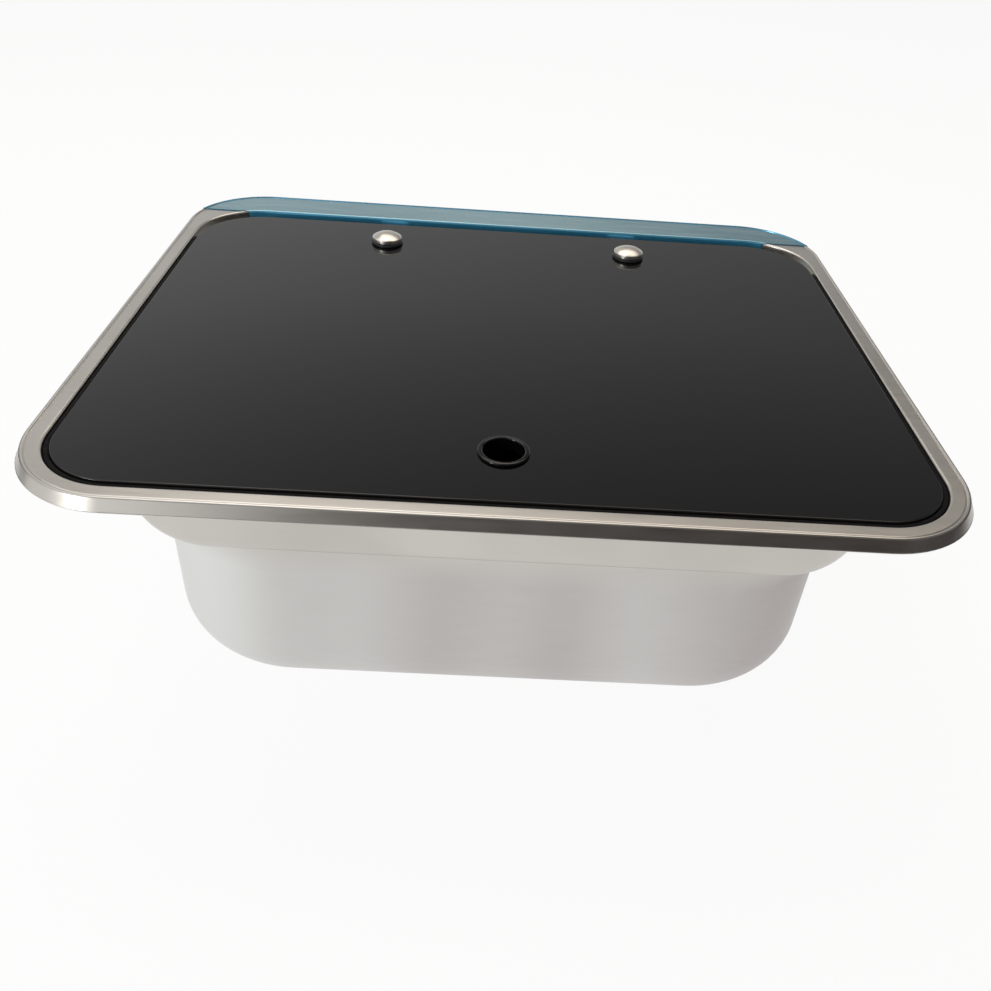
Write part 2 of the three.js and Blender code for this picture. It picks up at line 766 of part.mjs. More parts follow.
function pinGeometry() {
  const seat = earOuter + CLEARANCE;
  const end = seat + PIN_HEAD;
  return turned(
    [
      [0, -end],
      [PIN_HEAD_RADIUS, -end],
      [PIN_HEAD_RADIUS, -seat],
      [PIN_RADIUS, -seat],
      [PIN_RADIUS, seat],
      [PIN_HEAD_RADIUS, seat],
      [PIN_HEAD_RADIUS, end],
      [0, end],
    ],
    SMALL_SIDES,
  ).rotateY(Math.PI / 2);
}

// A pan-head screw that stands on its shank: the underside of the head is at height 0.
function screwGeometry({ shank, head, headSide, headHeight }, length) {
  return turned(
    [
      [0, -length],
      [shank, -length],
      [shank, 0],
      [head, 0],
      [head, headSide],
      [head - HEAD_ROUND, headHeight],
      [0, headHeight],
    ],
    SMALL_SIDES,
  );
}

function nutGeometry() {
  const outline = new THREE.Shape();
  for (let i = 0; i < 6; i += 1) {
    const angle = (i * Math.PI) / 3;
    const point = [NUT_RADIUS * Math.cos(angle), NUT_RADIUS * Math.sin(angle)];
    if (i === 0) outline.moveTo(...point);
    else outline.lineTo(...point);
  }
  outline.closePath();
  const hole = new THREE.Path();
  hole.absarc(0, 0, FOOT_SCREW.shank + CLEARANCE, 0, Math.PI * 2, true);
  outline.holes.push(hole);
  return new THREE.ExtrudeGeometry(outline, {
    depth: NUT_HEIGHT,
    bevelEnabled: false,
    curveSegments: 6,
  });
}

// ---------------------------------------------------------------- waste, heights from the seat

const flangeUnder = SEAL_THICKNESS + 2 * CLEARANCE;
const flangeTop = flangeUnder + WASTE_FLANGE_THICKNESS;
const cupUnder = -WASTE_CUP_DEPTH - WASTE_FLANGE_THICKNESS;
const sealInner = DRAIN_HOLE_RADIUS + CLEARANCE;
const trapTop = -SHEET - LOWER_SEAL_THICKNESS - 2 * CLEARANCE;
const trapBottom = trapTop - TRAP_HEIGHT;
const outletZ = trapTop - OUTLET_DROP;
const wasteScrewBore = WASTE_SCREW.shank + CLEARANCE;

function sealGeometry(low, thickness) {
  return turned(
    [
      [sealInner, low],
      [sealInner + SEAL_WIDTH, low],
      [sealInner + SEAL_WIDTH, low + thickness],
      [sealInner, low + thickness],
    ],
  );
}

function wasteFlangeGeometry() {
  const wall = WASTE_FLANGE_THICKNESS;
  const dish = turned([
    [wasteScrewBore, cupUnder],
    [WASTE_CUP_RADIUS + wall, cupUnder],
    [WASTE_THROAT_RADIUS + wall, flangeUnder - wall],
    [WASTE_THROAT_RADIUS + 2 * wall, flangeUnder],
    [WASTE_FLANGE_RADIUS, flangeUnder],
    [WASTE_FLANGE_RADIUS, flangeTop],
    [WASTE_THROAT_RADIUS + wall, flangeTop],
    [WASTE_THROAT_RADIUS, flangeUnder - wall],
    [WASTE_CUP_RADIUS, -WASTE_CUP_DEPTH],
    [wasteScrewBore, -WASTE_CUP_DEPTH],
  ]);
  let body = solid(dish);
  const slotLength = WASTE_SLOT_END - WASTE_SLOT_START;
  for (let i = 0; i < WASTE_SLOTS; i += 1) {
    const slot = block(
      [slotLength, WASTE_SLOT_WIDTH, 4 * wall],
      [WASTE_SLOT_START + slotLength / 2, 0, cupUnder + wall / 2],
    );
    body = body.subtract(slot.rotate([0, 0, (i * 360) / WASTE_SLOTS]));
  }
  return geometryOf(body);
}

function trapBodyGeometry() {
  const inner = TRAP_RADIUS - TRAP_WALL;
  const chamfer = 2 * TRAP_WALL;
  const pillarTop = cupUnder - CLEARANCE;
  const floor = trapBottom + TRAP_WALL;
  const cup = turned([
    [0, trapBottom],
    [TRAP_RADIUS - chamfer, trapBottom],
    [TRAP_RADIUS, trapBottom + chamfer],
    [TRAP_RADIUS, trapTop - TRAP_FLANGE_THICKNESS],
    [TRAP_FLANGE_RADIUS, trapTop - TRAP_FLANGE_THICKNESS],
    [TRAP_FLANGE_RADIUS, trapTop],
    [inner, trapTop],
    [inner, floor + chamfer],
    [inner - chamfer, floor],
    [TRAP_PILLAR_RADIUS, floor],
    [TRAP_PILLAR_RADIUS, pillarTop],
    [wasteScrewBore, pillarTop],
    [wasteScrewBore, pillarTop - TRAP_PILLAR_BORE_DEPTH],
    [0, pillarTop - TRAP_PILLAR_BORE_DEPTH],
  ]);
  const bossStart = inner + TRAP_WALL / 2;
  const boss = bar(
    OUTLET_RADIUS,
    OUTLET_REACH - bossStart,
    [0, (OUTLET_REACH + bossStart) / 2, outletZ],
    "y",
  );
  const boreStart = TRAP_PILLAR_RADIUS + TRAP_WALL;
  const bore = bar(
    OUTLET_BORE,
    OUTLET_REACH + TRAP_WALL - boreStart,
    [0, (OUTLET_REACH + TRAP_WALL + boreStart) / 2, outletZ],
    "y",
  );
  return geometryOf(solid(cup).add(boss).subtract(bore));
}

// The hose tail's pieces run along Y from the end of the outlet.
const tailSealEnd = OUTLET_REACH + CLEARANCE + SEAL_THICKNESS;
const tailStart = tailSealEnd + CLEARANCE;
const tailEnd = tailStart + TAIL_FLANGE + TAIL_LENGTH;
const outletNutEnd = tailStart + TAIL_FLANGE + CLEARANCE + OUTLET_NUT_END;

const alongY = (geometry) => geometry.rotateX(-Math.PI / 2).translate(0, 0, outletZ);

function outletSealGeometry() {
  const start = OUTLET_REACH + CLEARANCE;
  return alongY(
    turned(
      [
        [OUTLET_BORE, start],
        [OUTLET_RADIUS, start],
        [OUTLET_RADIUS, tailSealEnd],
        [OUTLET_BORE, tailSealEnd],
      ],
    ),
  );
}

function hoseTailGeometry() {
  const barbStart = outletNutEnd + BARB_SETBACK;
  const pitch = (tailEnd - barbStart) / BARBS;
  const barbs = Array.from({ length: BARBS }, (_, i) => [
    [TAIL_RADIUS, barbStart + i * pitch],
    [TAIL_RADIUS + BARB_HEIGHT, barbStart + i * pitch],
    [TAIL_RADIUS, barbStart + i * pitch + BARB_RUN],
  ]).flat();
  return alongY(
    turned(
      [
        [OUTLET_BORE, tailStart],
        [OUTLET_RADIUS, tailStart],
        [OUTLET_RADIUS, tailStart + TAIL_FLANGE],
        [TAIL_RADIUS, tailStart + TAIL_FLANGE],
        ...barbs,
        [TAIL_RADIUS, tailEnd],
        [OUTLET_BORE, tailEnd],
      ],
    ),
  );
}

function outletNutGeometry() {
  const outline = new THREE.Shape();
  const points = 4 * OUTLET_NUT_RIBS;
  for (let i = 0; i < points; i += 1) {
    const angle = (i * 2 * Math.PI) / points;
    const radius = OUTLET_NUT_RADIUS + OUTLET_NUT_RIB_HEIGHT * Math.cos(OUTLET_NUT_RIBS * angle);
    const point = [radius * Math.cos(angle), radius * Math.sin(angle)];
    if (i === 0) outline.moveTo(...point);
    else outline.lineTo(...point);
  }
  outline.closePath();
  const collar = new THREE.ExtrudeGeometry(outline, {
    depth: OUTLET_NUT_LENGTH,
    bevelEnabled: false,
  });
  collar.translate(0, 0, outletNutEnd - OUTLET_NUT_LENGTH);
  const socketEnd = outletNutEnd - OUTLET_NUT_END;
  const socket = bar(
    OUTLET_RADIUS + CLEARANCE,
    OUTLET_NUT_LENGTH,
    [0, 0, socketEnd - OUTLET_NUT_LENGTH / 2],
  );
  const throat = bar(TAIL_RADIUS + 2 * CLEARANCE, 4 * OUTLET_NUT_END, [0, 0, outletNutEnd]);
  return alongY(geometryOf(solid(collar).subtract(socket).subtract(throat)));
}

// ---------------------------------------------------------------- plug

const plugUnder = flangeTop + CLEARANCE;
const plugTop = plugUnder + PLUG_DISC;

function plugGeometry() {
  const taper = (WASTE_THROAT_RADIUS - WASTE_CUP_RADIUS) / (WASTE_CUP_DEPTH + flangeUnder);
  const bottom = plugUnder - PLUG_BODY;
  const coneRadius = (z) => WASTE_CUP_RADIUS + (z + WASTE_CUP_DEPTH) * taper - CLEARANCE;
  const stemBore = KNOB_STEM_RADIUS + CLEARANCE;
  const stemEnd = plugTop - KNOB_STEM_DEPTH - CLEARANCE;
  return turned([
    [0, bottom],
    [coneRadius(bottom), bottom],
    [coneRadius(flangeUnder - WASTE_FLANGE_THICKNESS), flangeUnder - WASTE_FLANGE_THICKNESS],
    [WASTE_THROAT_RADIUS - 2 * CLEARANCE, plugUnder],
    [PLUG_RADIUS, plugUnder],
    [PLUG_RADIUS, plugUnder + PLUG_DISC / 2],
    [PLUG_RADIUS - PLUG_DISC / 2, plugTop],
    [stemBore, plugTop],
    [stemBore, stemEnd],
    [0, stemEnd],
  ]);
}

function knobGeometry() {
  const base = plugTop + CLEARANCE;
  const brim = base + KNOB_BRIM_HEIGHT;
  const crown = base + KNOB_HEIGHT;
  return turned(
    [
      [0, plugTop - KNOB_STEM_DEPTH],
      [KNOB_STEM_RADIUS, plugTop - KNOB_STEM_DEPTH],
      [KNOB_STEM_RADIUS, base],
      [KNOB_WAIST_RADIUS, base],
      [KNOB_WAIST_RADIUS, base + KNOB_WAIST_HEIGHT],
      [KNOB_RADIUS - KNOB_EDGE, brim],
      [KNOB_RADIUS, brim + KNOB_EDGE],
      [KNOB_RADIUS - KNOB_EDGE, crown - KNOB_EDGE],
      [KNOB_CROWN_RADIUS, crown],
      [0, crown],
    ],
  );
}

// ---------------------------------------------------------------- assembly

const sink = new THREE.Group();

function add(name, geometry, finish, position = [0, 0, 0]) {
  const mesh = new THREE.Mesh(geometry, finish);
  mesh.name = name;
  mesh.position.set(...position);
  sink.add(mesh);
}

const drain = [0, drainY, drainSeatZ];

add("basin", basinGeometry(), satinSteel);
add("rim_foam_seal", rimFoamGeometry(), greyFoam);
add("lid_gasket", lidGasketGeometry(), blackRubber);
add("protective_film", filmGeometry(), blueFilm);

add("glass_lid", glassGeometry(), smokedGlass);
add("finger_grommet", grommetGeometry(), glossBlack, [0, fingerHoleY, LAND]);

for (const [hand, name] of [
  [-1, "left"],
  [1, "right"],
]) {
  const x = (hand * HINGE_SPACING) / 2;
  add(`hinge_cap_${name}`, capGeometry(), chrome, [x, capY, LAND]);
  add(`cap_washer_${name}`, capWasherGeometry(), blackNylon, [x, capY, LAND]);
  add(`glass_pad_${name}`, padGeometry(), blackNylon, [x, capY, LAND]);
  add(`hinge_arm_${name}`, armGeometry(), hingeSteel, [x, axisY, axisZ]);
  const capScrew = screwGeometry(CAP_SCREW, -armBottom - CLEARANCE);
  capScrew.rotateX(Math.PI);
  add(`cap_screw_${name}`, capScrew, hingeSteel, [x, capY, LAND + armBottom - CLEARANCE]);
  add(`hinge_pin_${name}`, pinGeometry(), hingeSteel, [x, axisY, axisZ]);
  add(`hinge_base_${name}`, hingeBaseGeometry(), hingeSteel, [x, axisY, axisZ]);
}

const footTop = trayFloorZ + CLEARANCE + FOOT_THICKNESS;
const nutTop = trayFloorZ - SHEET - CLEARANCE;
const footScrewLength = footTop + CLEARANCE - nutTop + NUT_HEIGHT + THREAD_SHOWING;
footScrewHoles.forEach(([x, y], index) => {
  const screw = screwGeometry(FOOT_SCREW, footScrewLength);
  add(`foot_screw_${index + 1}`, screw, hingeSteel, [x, y, footTop + CLEARANCE]);
  add(`foot_nut_${index + 1}`, nutGeometry(), hingeSteel, [x, y, nutTop - NUT_HEIGHT]);
});

add("waste_flange", wasteFlangeGeometry(), satinSteel, drain);
add("waste_seal_upper", sealGeometry(CLEARANCE, SEAL_THICKNESS), blackRubber, drain);
add(
  "waste_seal_lower",
  sealGeometry(trapTop + CLEARANCE, LOWER_SEAL_THICKNESS),
  blackRubber,
  drain,
);
add("trap_body", trapBodyGeometry(), whitePlastic, drain);
const wasteScrewLength = TRAP_PILLAR_BORE_DEPTH;
add("waste_screw", screwGeometry(WASTE_SCREW, wasteScrewLength), hingeSteel, [
  0,
  drainY,
  drainSeatZ - WASTE_CUP_DEPTH + CLEARANCE,
]);
add("outlet_seal", outletSealGeometry(), blackRubber, drain);
add("hose_tail", hoseTailGeometry(), whitePlastic, drain);
add("outlet_nut", outletNutGeometry(), whitePlastic, drain);

add("drain_plug", plugGeometry(), blackRubber, drain);
add("plug_knob", knobGeometry(), chrome, drain);

export default sink;
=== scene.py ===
import math

import bmesh
import bpy
from mathutils import Matrix, Vector


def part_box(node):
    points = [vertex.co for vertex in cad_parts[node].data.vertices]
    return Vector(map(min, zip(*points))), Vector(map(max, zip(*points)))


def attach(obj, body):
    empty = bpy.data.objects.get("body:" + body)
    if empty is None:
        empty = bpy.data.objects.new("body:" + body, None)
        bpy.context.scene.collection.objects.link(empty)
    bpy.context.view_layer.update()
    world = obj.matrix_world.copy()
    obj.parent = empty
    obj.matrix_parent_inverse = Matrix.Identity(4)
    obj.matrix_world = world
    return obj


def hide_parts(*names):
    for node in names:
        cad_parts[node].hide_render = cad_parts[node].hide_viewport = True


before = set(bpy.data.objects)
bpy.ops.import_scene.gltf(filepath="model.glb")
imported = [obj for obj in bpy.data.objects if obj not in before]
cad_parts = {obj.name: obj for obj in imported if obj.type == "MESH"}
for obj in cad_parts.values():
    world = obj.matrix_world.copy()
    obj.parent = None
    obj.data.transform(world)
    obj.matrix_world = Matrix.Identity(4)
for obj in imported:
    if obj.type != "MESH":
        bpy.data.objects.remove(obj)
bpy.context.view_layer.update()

# ------------------------------------------------------------------ basin
# The sink itself: one sheet of 1 mm stainless steel, deep drawn in one go into a rolled rim,
# a recess for the lid, a shallow tray with a flat tap shelf, and a bowl with a drain seat.
# The tap hole, the drain hole and the screw holes are punched afterwards.

MM = 0.001
SHEET = 1.0
GAP = 0.3

rim_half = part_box("basin")[1].x / MM
rim_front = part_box("basin")[0].y / MM
rim_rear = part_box("basin")[1].y / MM
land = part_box("glass_lid")[1].z / MM

FRAME = 16
REAR_FRAME = 39
SIDE_LEDGE = 26
FRONT_LEDGE = 9
REAR_LEDGE = 4.5
FRONT_STEP = 4
BOWL_WIDTH = 430
BOWL_LENGTH = 300
rim_plan = {"half": rim_half, "front": rim_front, "rear": rim_rear, "corners": (66, 66)}
recess_plan = {
    "half": rim_half - FRAME,
    "front": rim_front + FRAME,
    "rear": rim_rear - REAR_FRAME,
    "corners": (48, 50),
}
tray_plan = {
    "half": recess_plan["half"] - SIDE_LEDGE,
    "front": recess_plan["front"] + FRONT_LEDGE,
    "rear": recess_plan["rear"] - REAR_LEDGE,
    "corners": (71, 50),
}
bowl_front = tray_plan["front"] + FRONT_STEP
bowl_plan = {
    "half": BOWL_WIDTH / 2,
    "front": bowl_front,
    "rear": bowl_front + BOWL_LENGTH,
    "corners": (86, 86),
}
drain_y = bowl_front + BOWL_LENGTH / 2

CORNER_POINTS = 20
CRISP = 35


def inset(side, front=None):
    """How far a ring lies inside its plan, at the sides and rear, and at the front."""
    return side, side if front is None else front


def ring(plan, place, height):
    """Points of a rectangle with round corners, anticlockwise from the front right corner."""
    side, front = place
    points = []
    for index, (right, back) in enumerate(((1, -1), (1, 1), (-1, 1), (-1, -1))):
        radius = plan["corners"][0 if back < 0 else 1]
        end = front if back < 0 else side
        x = right * (plan["half"] - radius)
        y = plan["rear"] - radius if back > 0 else plan["front"] + radius
        for step in range(CORNER_POINTS + 1):
            angle = (index - 1 + step / CORNER_POINTS) * math.pi / 2
            points.append(
                (
                    x + (radius - side) * math.cos(angle),
                    y + (radius - end) * math.sin(angle),
                    height,
                )
            )
    return points


def drain_ring(radius, height):
    """The same number of points on a circle about the drain."""
    count = 4 * (CORNER_POINTS + 1)
    turns = [((step + 0.5) / count - 0.25) * 2 * math.pi for step in range(count)]
    return [(radius * math.cos(t), drain_y + radius * math.sin(t), height) for t in turns]


def bend(plan, place, height, radius, angles, steps, front_radius=None):
    """A bend of the sheet, as a function that gives its rings on the skin at an offset.
    Angle 0 points inwards and 90 up; the offset is above the show side."""
    ahead = radius if front_radius is None else front_radius
    convex = max(angles) <= 180

    def rings(offset):
        grown = offset if convex else -offset
        made = []
        for i in range(steps + 1):
            angle = math.radians(angles[0] + (angles[1] - angles[0]) * i / steps)
            reach = (radius + grown) * math.cos(angle)
            front_reach = (ahead + grown) * math.cos(angle)
            at = (place[0] + reach, place[1] + front_reach)
            made.append(ring(plan, at, height + (radius + grown) * math.sin(angle)))
        return made

    return rings


def level(plan, place, height):
    """A flat stretch of the sheet."""
    return lambda offset: [ring(plan, place, height + offset)]


def drain_level(radius, height):
    """A flat or sloping stretch round the drain."""
    return lambda offset: [drain_ring(radius, height + offset)]


def mesh_object(name, points, faces, sharp=CRISP):
    """An object from points in millimetres, smooth except where it turns more than an angle."""
    mesh = bpy.data.meshes.new(name)
    mesh.from_pydata([[c * MM for c in p] for p in points], [], faces)
    mesh.validate()
    made = bpy.data.objects.new(name, mesh)
    bpy.context.scene.collection.objects.link(made)
    tidy_mesh(mesh, sharp)
    return made


def tidy_mesh(mesh, sharp=CRISP):
    """Joins coinciding points, turns faces outwards and marks the edges that stay crisp."""
    shape = bmesh.new()
    shape.from_mesh(mesh)
    bmesh.ops.remove_doubles(shape, verts=shape.verts, dist=1e-6)
    bmesh.ops.recalc_face_normals(shape, faces=shape.faces)
    shape.to_mesh(mesh)
    shape.free()
    mesh.shade_smooth()
    mesh.set_sharp_from_angle(angle=math.radians(sharp))


def looped(name, rings):
    """Rings joined into a skin that closes on itself, like a ring doughnut of any section."""
    count = len(rings[0])
    points = [p for one in rings for p in one]
    faces = []
    for r in range(len(rings)):
        here, after = r * count, (r + 1) % len(rings) * count
        for j in range(count):
            k = (j + 1) % count
            faces.append((here + j, here + k, after + k, after + j))
    return mesh_object(name, points, faces)


def skin(run, offset):
    """The rings of a run of bends and levels, on the skin at an offset."""
    return [one for stretch in run for one in stretch(offset)]


def cut(target, tools, operation="DIFFERENCE"):
    """Cuts the tools out of a piece, or keeps what they share, and bakes the result."""
    for tool in tools:
        change = target.modifiers.new("cut", "BOOLEAN")
        change.operation, change.solver, change.object = operation, "EXACT", tool
    graph = bpy.context.evaluated_depsgraph_get()
    baked = bpy.data.meshes.new_from_object(target.evaluated_get(graph))
    target.modifiers.clear()
    target.data = baked
    tidy_mesh(baked)
    for tool in tools:
        bpy.data.objects.remove(tool)


def turned(name, profile, centre=(0, 0, 0), sides=72, sharp=CRISP):
    """A profile of (radius, height) turned about a vertical axis. It starts and ends on the
    axis, or it is a ring's section that its first point closes."""
    closed = profile[0][0] > 0
    points = [
        (
            centre[0] + radius * math.sin(2 * math.pi * step / sides),
            centre[1] - radius * math.cos(2 * math.pi * step / sides),
            centre[2] + height,
        )
        for radius, height in profile
        for step in range(sides)
    ]
    rows = len(profile)
    faces = []
    for r in range(rows if closed else rows - 1):
        here, after = r * sides, (r + 1) % rows * sides
        for j in range(sides):
            k = (j + 1) % sides
            faces.append((here + j, here + k, after + k, after + j))
    return mesh_object(name, points, faces, sharp)


def move(piece, place, angle=0, axis="Z"):
    """Turns a piece about an axis through the origin and moves it to a place in millimetres."""
    piece.data.transform(Matrix.Translation(Vector(place) * MM) @ Matrix.Rotation(angle, 4, axis))


def rod(name, radius, length, centre, axis="z", sides=48):
    """A round bar or drill, centred at a point, along one axis."""
    half = length / 2
    made = turned(name, [(0, -half), (radius, -half), (radius, half), (0, half)], sides=sides)
    turn = {"z": (0, "Z"), "x": (math.pi / 2, "Y"), "y": (math.pi / 2, "X")}[axis]
    move(made, centre, *turn)
    return made


LIP_RADIUS = 1
FLANK_LEAN = 25
BEAD_RADIUS = 1.5
BEAD_RISE = 0.6
BEAD_END = 72
lean = math.radians(FLANK_LEAN)
both_radii = LIP_RADIUS + BEAD_RADIUS
lip_z = GAP + SHEET + LIP_RADIUS
shoulder_z = land + BEAD_RISE - BEAD_RADIUS
flank_rise = shoulder_z - lip_z + both_radii * math.sin(lean)
shoulder_centre = both_radii * math.cos(lean) + flank_rise * math.tan(lean)
crease = shoulder_centre + BEAD_RADIUS * math.cos(math.radians(BEAD_END))
RECESS_DRAFT = 0.3
TRAY_BEND = 9
TRAY_INSET = 16
BOWL_EDGE = 5
BOWL_BEND = 37
ledge = land - 8
tray_floor = land - 48
bowl_floor = land - 171.5
drain_seat = land - 180.5

# The lip stops before it is level, so that no bright line runs along the foot of the flank.
lip_angles = (305, 360 - FLANK_LEAN)
bead_angles = (180 - FLANK_LEAN, BEAD_END)
lip = bend(rim_plan, inset(0), lip_z, LIP_RADIUS, lip_angles, 4)
shoulder = bend(rim_plan, inset(shoulder_centre), shoulder_z, BEAD_RADIUS, bead_angles, 8)
# The crease inside the bead is a shallow groove that climbs back to the land.
land_run = [
    level(rim_plan, inset(crease + 0.45), land - 0.2),
    level(rim_plan, inset(crease + 0.75), land - 0.33),
    level(rim_plan, inset(crease + 0.95), land - 0.33),
    level(rim_plan, inset(crease + 1.4), land - 0.02),
    level(rim_plan, inset(crease + 1.8), land),
]
recess_edge = bend(recess_plan, inset(-1.6), land - 1.6, 1.6, (90, 0), 6)
# In front the tray's floor is hardly wider than the bowl, so its bends are tight there.
tight = {"front_radius": 1.3}
tray_place = inset(TRAY_INSET, 2.3)
tray_bend = bend(tray_plan, tray_place, tray_floor + TRAY_BEND, TRAY_BEND, (180, 270), 12, **tight)
edge_place = inset(-BOWL_EDGE, -1.3)
bowl_edge = bend(bowl_plan, edge_place, tray_floor - BOWL_EDGE, BOWL_EDGE, (90, 0), 8, **tight)
sheet_run = [
    lip,
    shoulder,
    *land_run,
    recess_edge,
    bend(recess_plan, inset(RECESS_DRAFT + 1.5), ledge + 1.5, 1.5, (180, 270), 5),
    bend(tray_plan, inset(-1.5), ledge - 1.5, 1.5, (90, 0), 5),
    tray_bend,
    bowl_edge,
    bend(bowl_plan, inset(BOWL_BEND + 0.5), bowl_floor + BOWL_BEND, BOWL_BEND, (180, 270), 16),
    drain_level(56, bowl_floor - 3.2),
    drain_level(46, bowl_floor - 3.9),
    drain_level(44, bowl_floor - 4.2),
    drain_level(42.6, bowl_floor - 4.8),
    drain_level(41.2, bowl_floor - 6.4),
    drain_level(40.2, drain_seat + 0.4),
    drain_level(39, drain_seat),
    drain_level(31, drain_seat),
]
basin = looped("basin_pressing", [*skin(sheet_run, 0), *skin(sheet_run, -SHEET)[::-1]])


def middle(node):
    """The middle of a CAD node's box, in millimetres."""
    low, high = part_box(node)
    return (low + high) / 2 / MM


TAP_HOLE = 17.5
SCREW_HOLE = 2.2
foot_screws = [middle(f"foot_screw_{i}") for i in range(1, 5)]
tap_y = (bowl_plan["rear"] + BOWL_EDGE + tray_plan["rear"] - TRAY_INSET) / 2
mid_sheet = tray_floor - SHEET / 2
punches = [rod("punch", TAP_HOLE, 4, (0, tap_y, mid_sheet), sides=96)]
punches += [rod("punch", SCREW_HOLE, 4, (c.x, c.y, mid_sheet)) for c in foot_screws]
cut(basin, punches)


def linear(code):
    """An sRGB hex colour as the linear values that a shader takes."""
    channels = [int(code[i : i + 2], 16) / 255 for i in (1, 3, 5)]
    curved = [c / 12.92 if c <= 0.04045 else ((c + 0.055) / 1.055) ** 2.4 for c in channels]
    return (*curved, 1.0)


def add(tree, kind, inputs=(), **settings):
    """Adds a node with its settings, and its inputs as values or as sockets that feed them."""
    made = tree.nodes.new(kind)
    for field, value in settings.items():
        setattr(made, field, value)
    for key, value in dict(inputs).items():
        if isinstance(value, bpy.types.NodeSocket):
            tree.links.new(value, made.inputs[key])
        else:
            made.inputs[key].default_value = value
    return made


def bare_tree(owner):
    """The empty node tree of a material or world."""
    owner.use_nodes = True
    owner.node_tree.nodes.clear()
    return owner.node_tree


def finish_of(name, surface):
    """A new material; the function given fills its tree and returns the shader's inputs."""
    made = bpy.data.materials.new(name)
    tree = bare_tree(made)
    place = add(tree, "ShaderNodeTexCoord").outputs["Object"]
    shader = add(tree, "ShaderNodeBsdfPrincipled", surface(tree, place))
    add(tree, "ShaderNodeOutputMaterial", {"Surface": shader.outputs[0]})
    return made


def mottle(tree, place, size_mm, low, high, stretch=(1, 1, 1), detail=3, shift=(0, 0, 0)):
    """Noise of a real size in millimetres, as a value between two limits. Nearly all of the
    noise lies between 0.3 and 0.7."""
    moved = {"Vector": place, "Scale": stretch, "Location": [c * MM for c in shift]}
    scaled = add(tree, "ShaderNodeMapping", moved).outputs[0]
    sized = {"Vector": scaled, "Scale": 1 / (size_mm * MM), "Detail": detail}
    noise = add(tree, "ShaderNodeTexNoise", sized).outputs[0]
    limits = {"Value": noise, "From Min": 0.3, "From Max": 0.7, "To Min": low, "To Max": high}
    return add(tree, "ShaderNodeMapRange", limits).outputs[0]


def blend_colours(tree, fac, *colours):
    """A colour between two, each of them an sRGB hex value or a socket."""
    first, second = (linear(c) if isinstance(c, str) else c for c in colours)
    ends = {"Factor": fac, 6: first, 7: second}
    return add(tree, "ShaderNodeMix", ends, data_type="RGBA").outputs[2]


def relief(tree, height, depth_mm):
    """Bump from a height between 0 and 1, for a real depth in millimetres."""
    dents = {"Height": height, "Distance": depth_mm * MM, "Strength": 1.0}
    return add(tree, "ShaderNodeBump", dents).outputs[0]


def wear(piece, material, *nodes, body, slot):
    """Gives a piece its material, keeps the shading of its flat faces flat, hides the CAD parts
    that it stands for and hangs it on the body that it rides on. The slot is not used."""
    piece.modifiers.new("flat_faces", "WEIGHTED_NORMAL").keep_sharp = True
    piece.data.materials.clear()
    piece.data.materials.append(material)
    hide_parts(*nodes)
    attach(piece, body)


# Stainless steel, grade 304, with the satin skin that the rolling mill leaves: soft wide
# highlights and a faint grain. Drawing roughens the bowl's walls, so they are duller, and
# their colour holds painted light and shade: soft upright bands, lighter and darker.
def satin_steel(tree, place):
    cloud = mottle(tree, place, 90, 0, 1, detail=2)
    # Painted light and shade: broad upright stripes of lighter and darker colour on the bowl's
    # walls.
    painted_light_bands = mottle(tree, place, 240, 0, 1, stretch=(1, 1, 0.15), detail=2, shift=(-120, 40, 0))
    as_rolled = blend_colours(tree, cloud, "#c9c6c0", "#bfbbb5")
    drawn_with_painted_light = blend_colours(tree, painted_light_bands, "#e2e4e1", "#ada5a3")
    grain = mottle(tree, place, 0.5, 0, 1, stretch=(0.04, 1, 1), detail=2)
    height = add(tree, "ShaderNodeSeparateXYZ", {0: place}).outputs["Z"]
    depths = {"Value": height, "From Min": -35 * MM, "From Max": -60 * MM}
    drawn = add(tree, "ShaderNodeMapRange", depths).outputs[0]
    rolled = mottle(tree, place, 3, 0.29, 0.34, stretch=(0.1, 1, 1))
    rough = add(tree, "ShaderNodeMath", {0: drawn, 1: 0.15, 2: rolled}, operation="MULTIPLY_ADD")
    return {
        "Base Color": blend_colours(tree, drawn, as_rolled, drawn_with_painted_light),
        "Metallic": 1.0,
        "Roughness": rough.outputs[0],
        "Normal": relief(tree, grain, 0.0005),
    }


satin_stainless = finish_of("satin_rolled_stainless_steel", satin_steel)
wear(basin, satin_stainless, "basin", body="sink", slot="satin_stainless")

# ------------------------------------------------------------------ foam strip under the rim
# A strip of closed-cell foam, glued under the rim by its own adhesive. The rim's weight
# presses it on the worktop and keeps water out.

foam_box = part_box("rim_foam_seal")
foam_outer = rim_half - foam_box[1].x / MM
foam_inner = foam_outer + 8
foam_top, foam_bottom = foam_box[1].z / MM, foam_box[0].z / MM
foam_section = [
    (foam_outer, foam_top),
    (foam_inner, foam_top),
    (foam_inner, foam_bottom + 0.4),
    (foam_inner - 0.4, foam_bottom),
    (foam_outer + 0.4, foam_bottom),
    (foam_outer, foam_bottom + 0.4),
]
foam = looped("rim_foam_strip", [ring(rim_plan, inset(i), z) for i, z in foam_section])


# Grey polyethylene foam, cut from a sheet: dull, with small closed cells.
def closed_cell_foam(tree, place):
    cell_size = 0.8 * MM
    cells = add(tree, "ShaderNodeTexVoronoi", {"Vector": place, "Scale": 1 / cell_size}).outputs[0]
    return {
        "Base Color": blend_colours(tree, cells, "#333436", "#4a4b4d"),
        "Roughness": 0.95,
        "Normal": relief(tree, cells, 0.15),
    }


grey_foam = finish_of("grey_polyethylene_foam", closed_cell_foam)
wear(foam, grey_foam, "rim_foam_seal", body="sink", slot="grey_foam")

# ------------------------------------------------------------------ lid gasket
# A black rubber profile pushed into the recess along its front and sides. The glass lies on
# its foot, and its upright lip closes the gap round the glass.

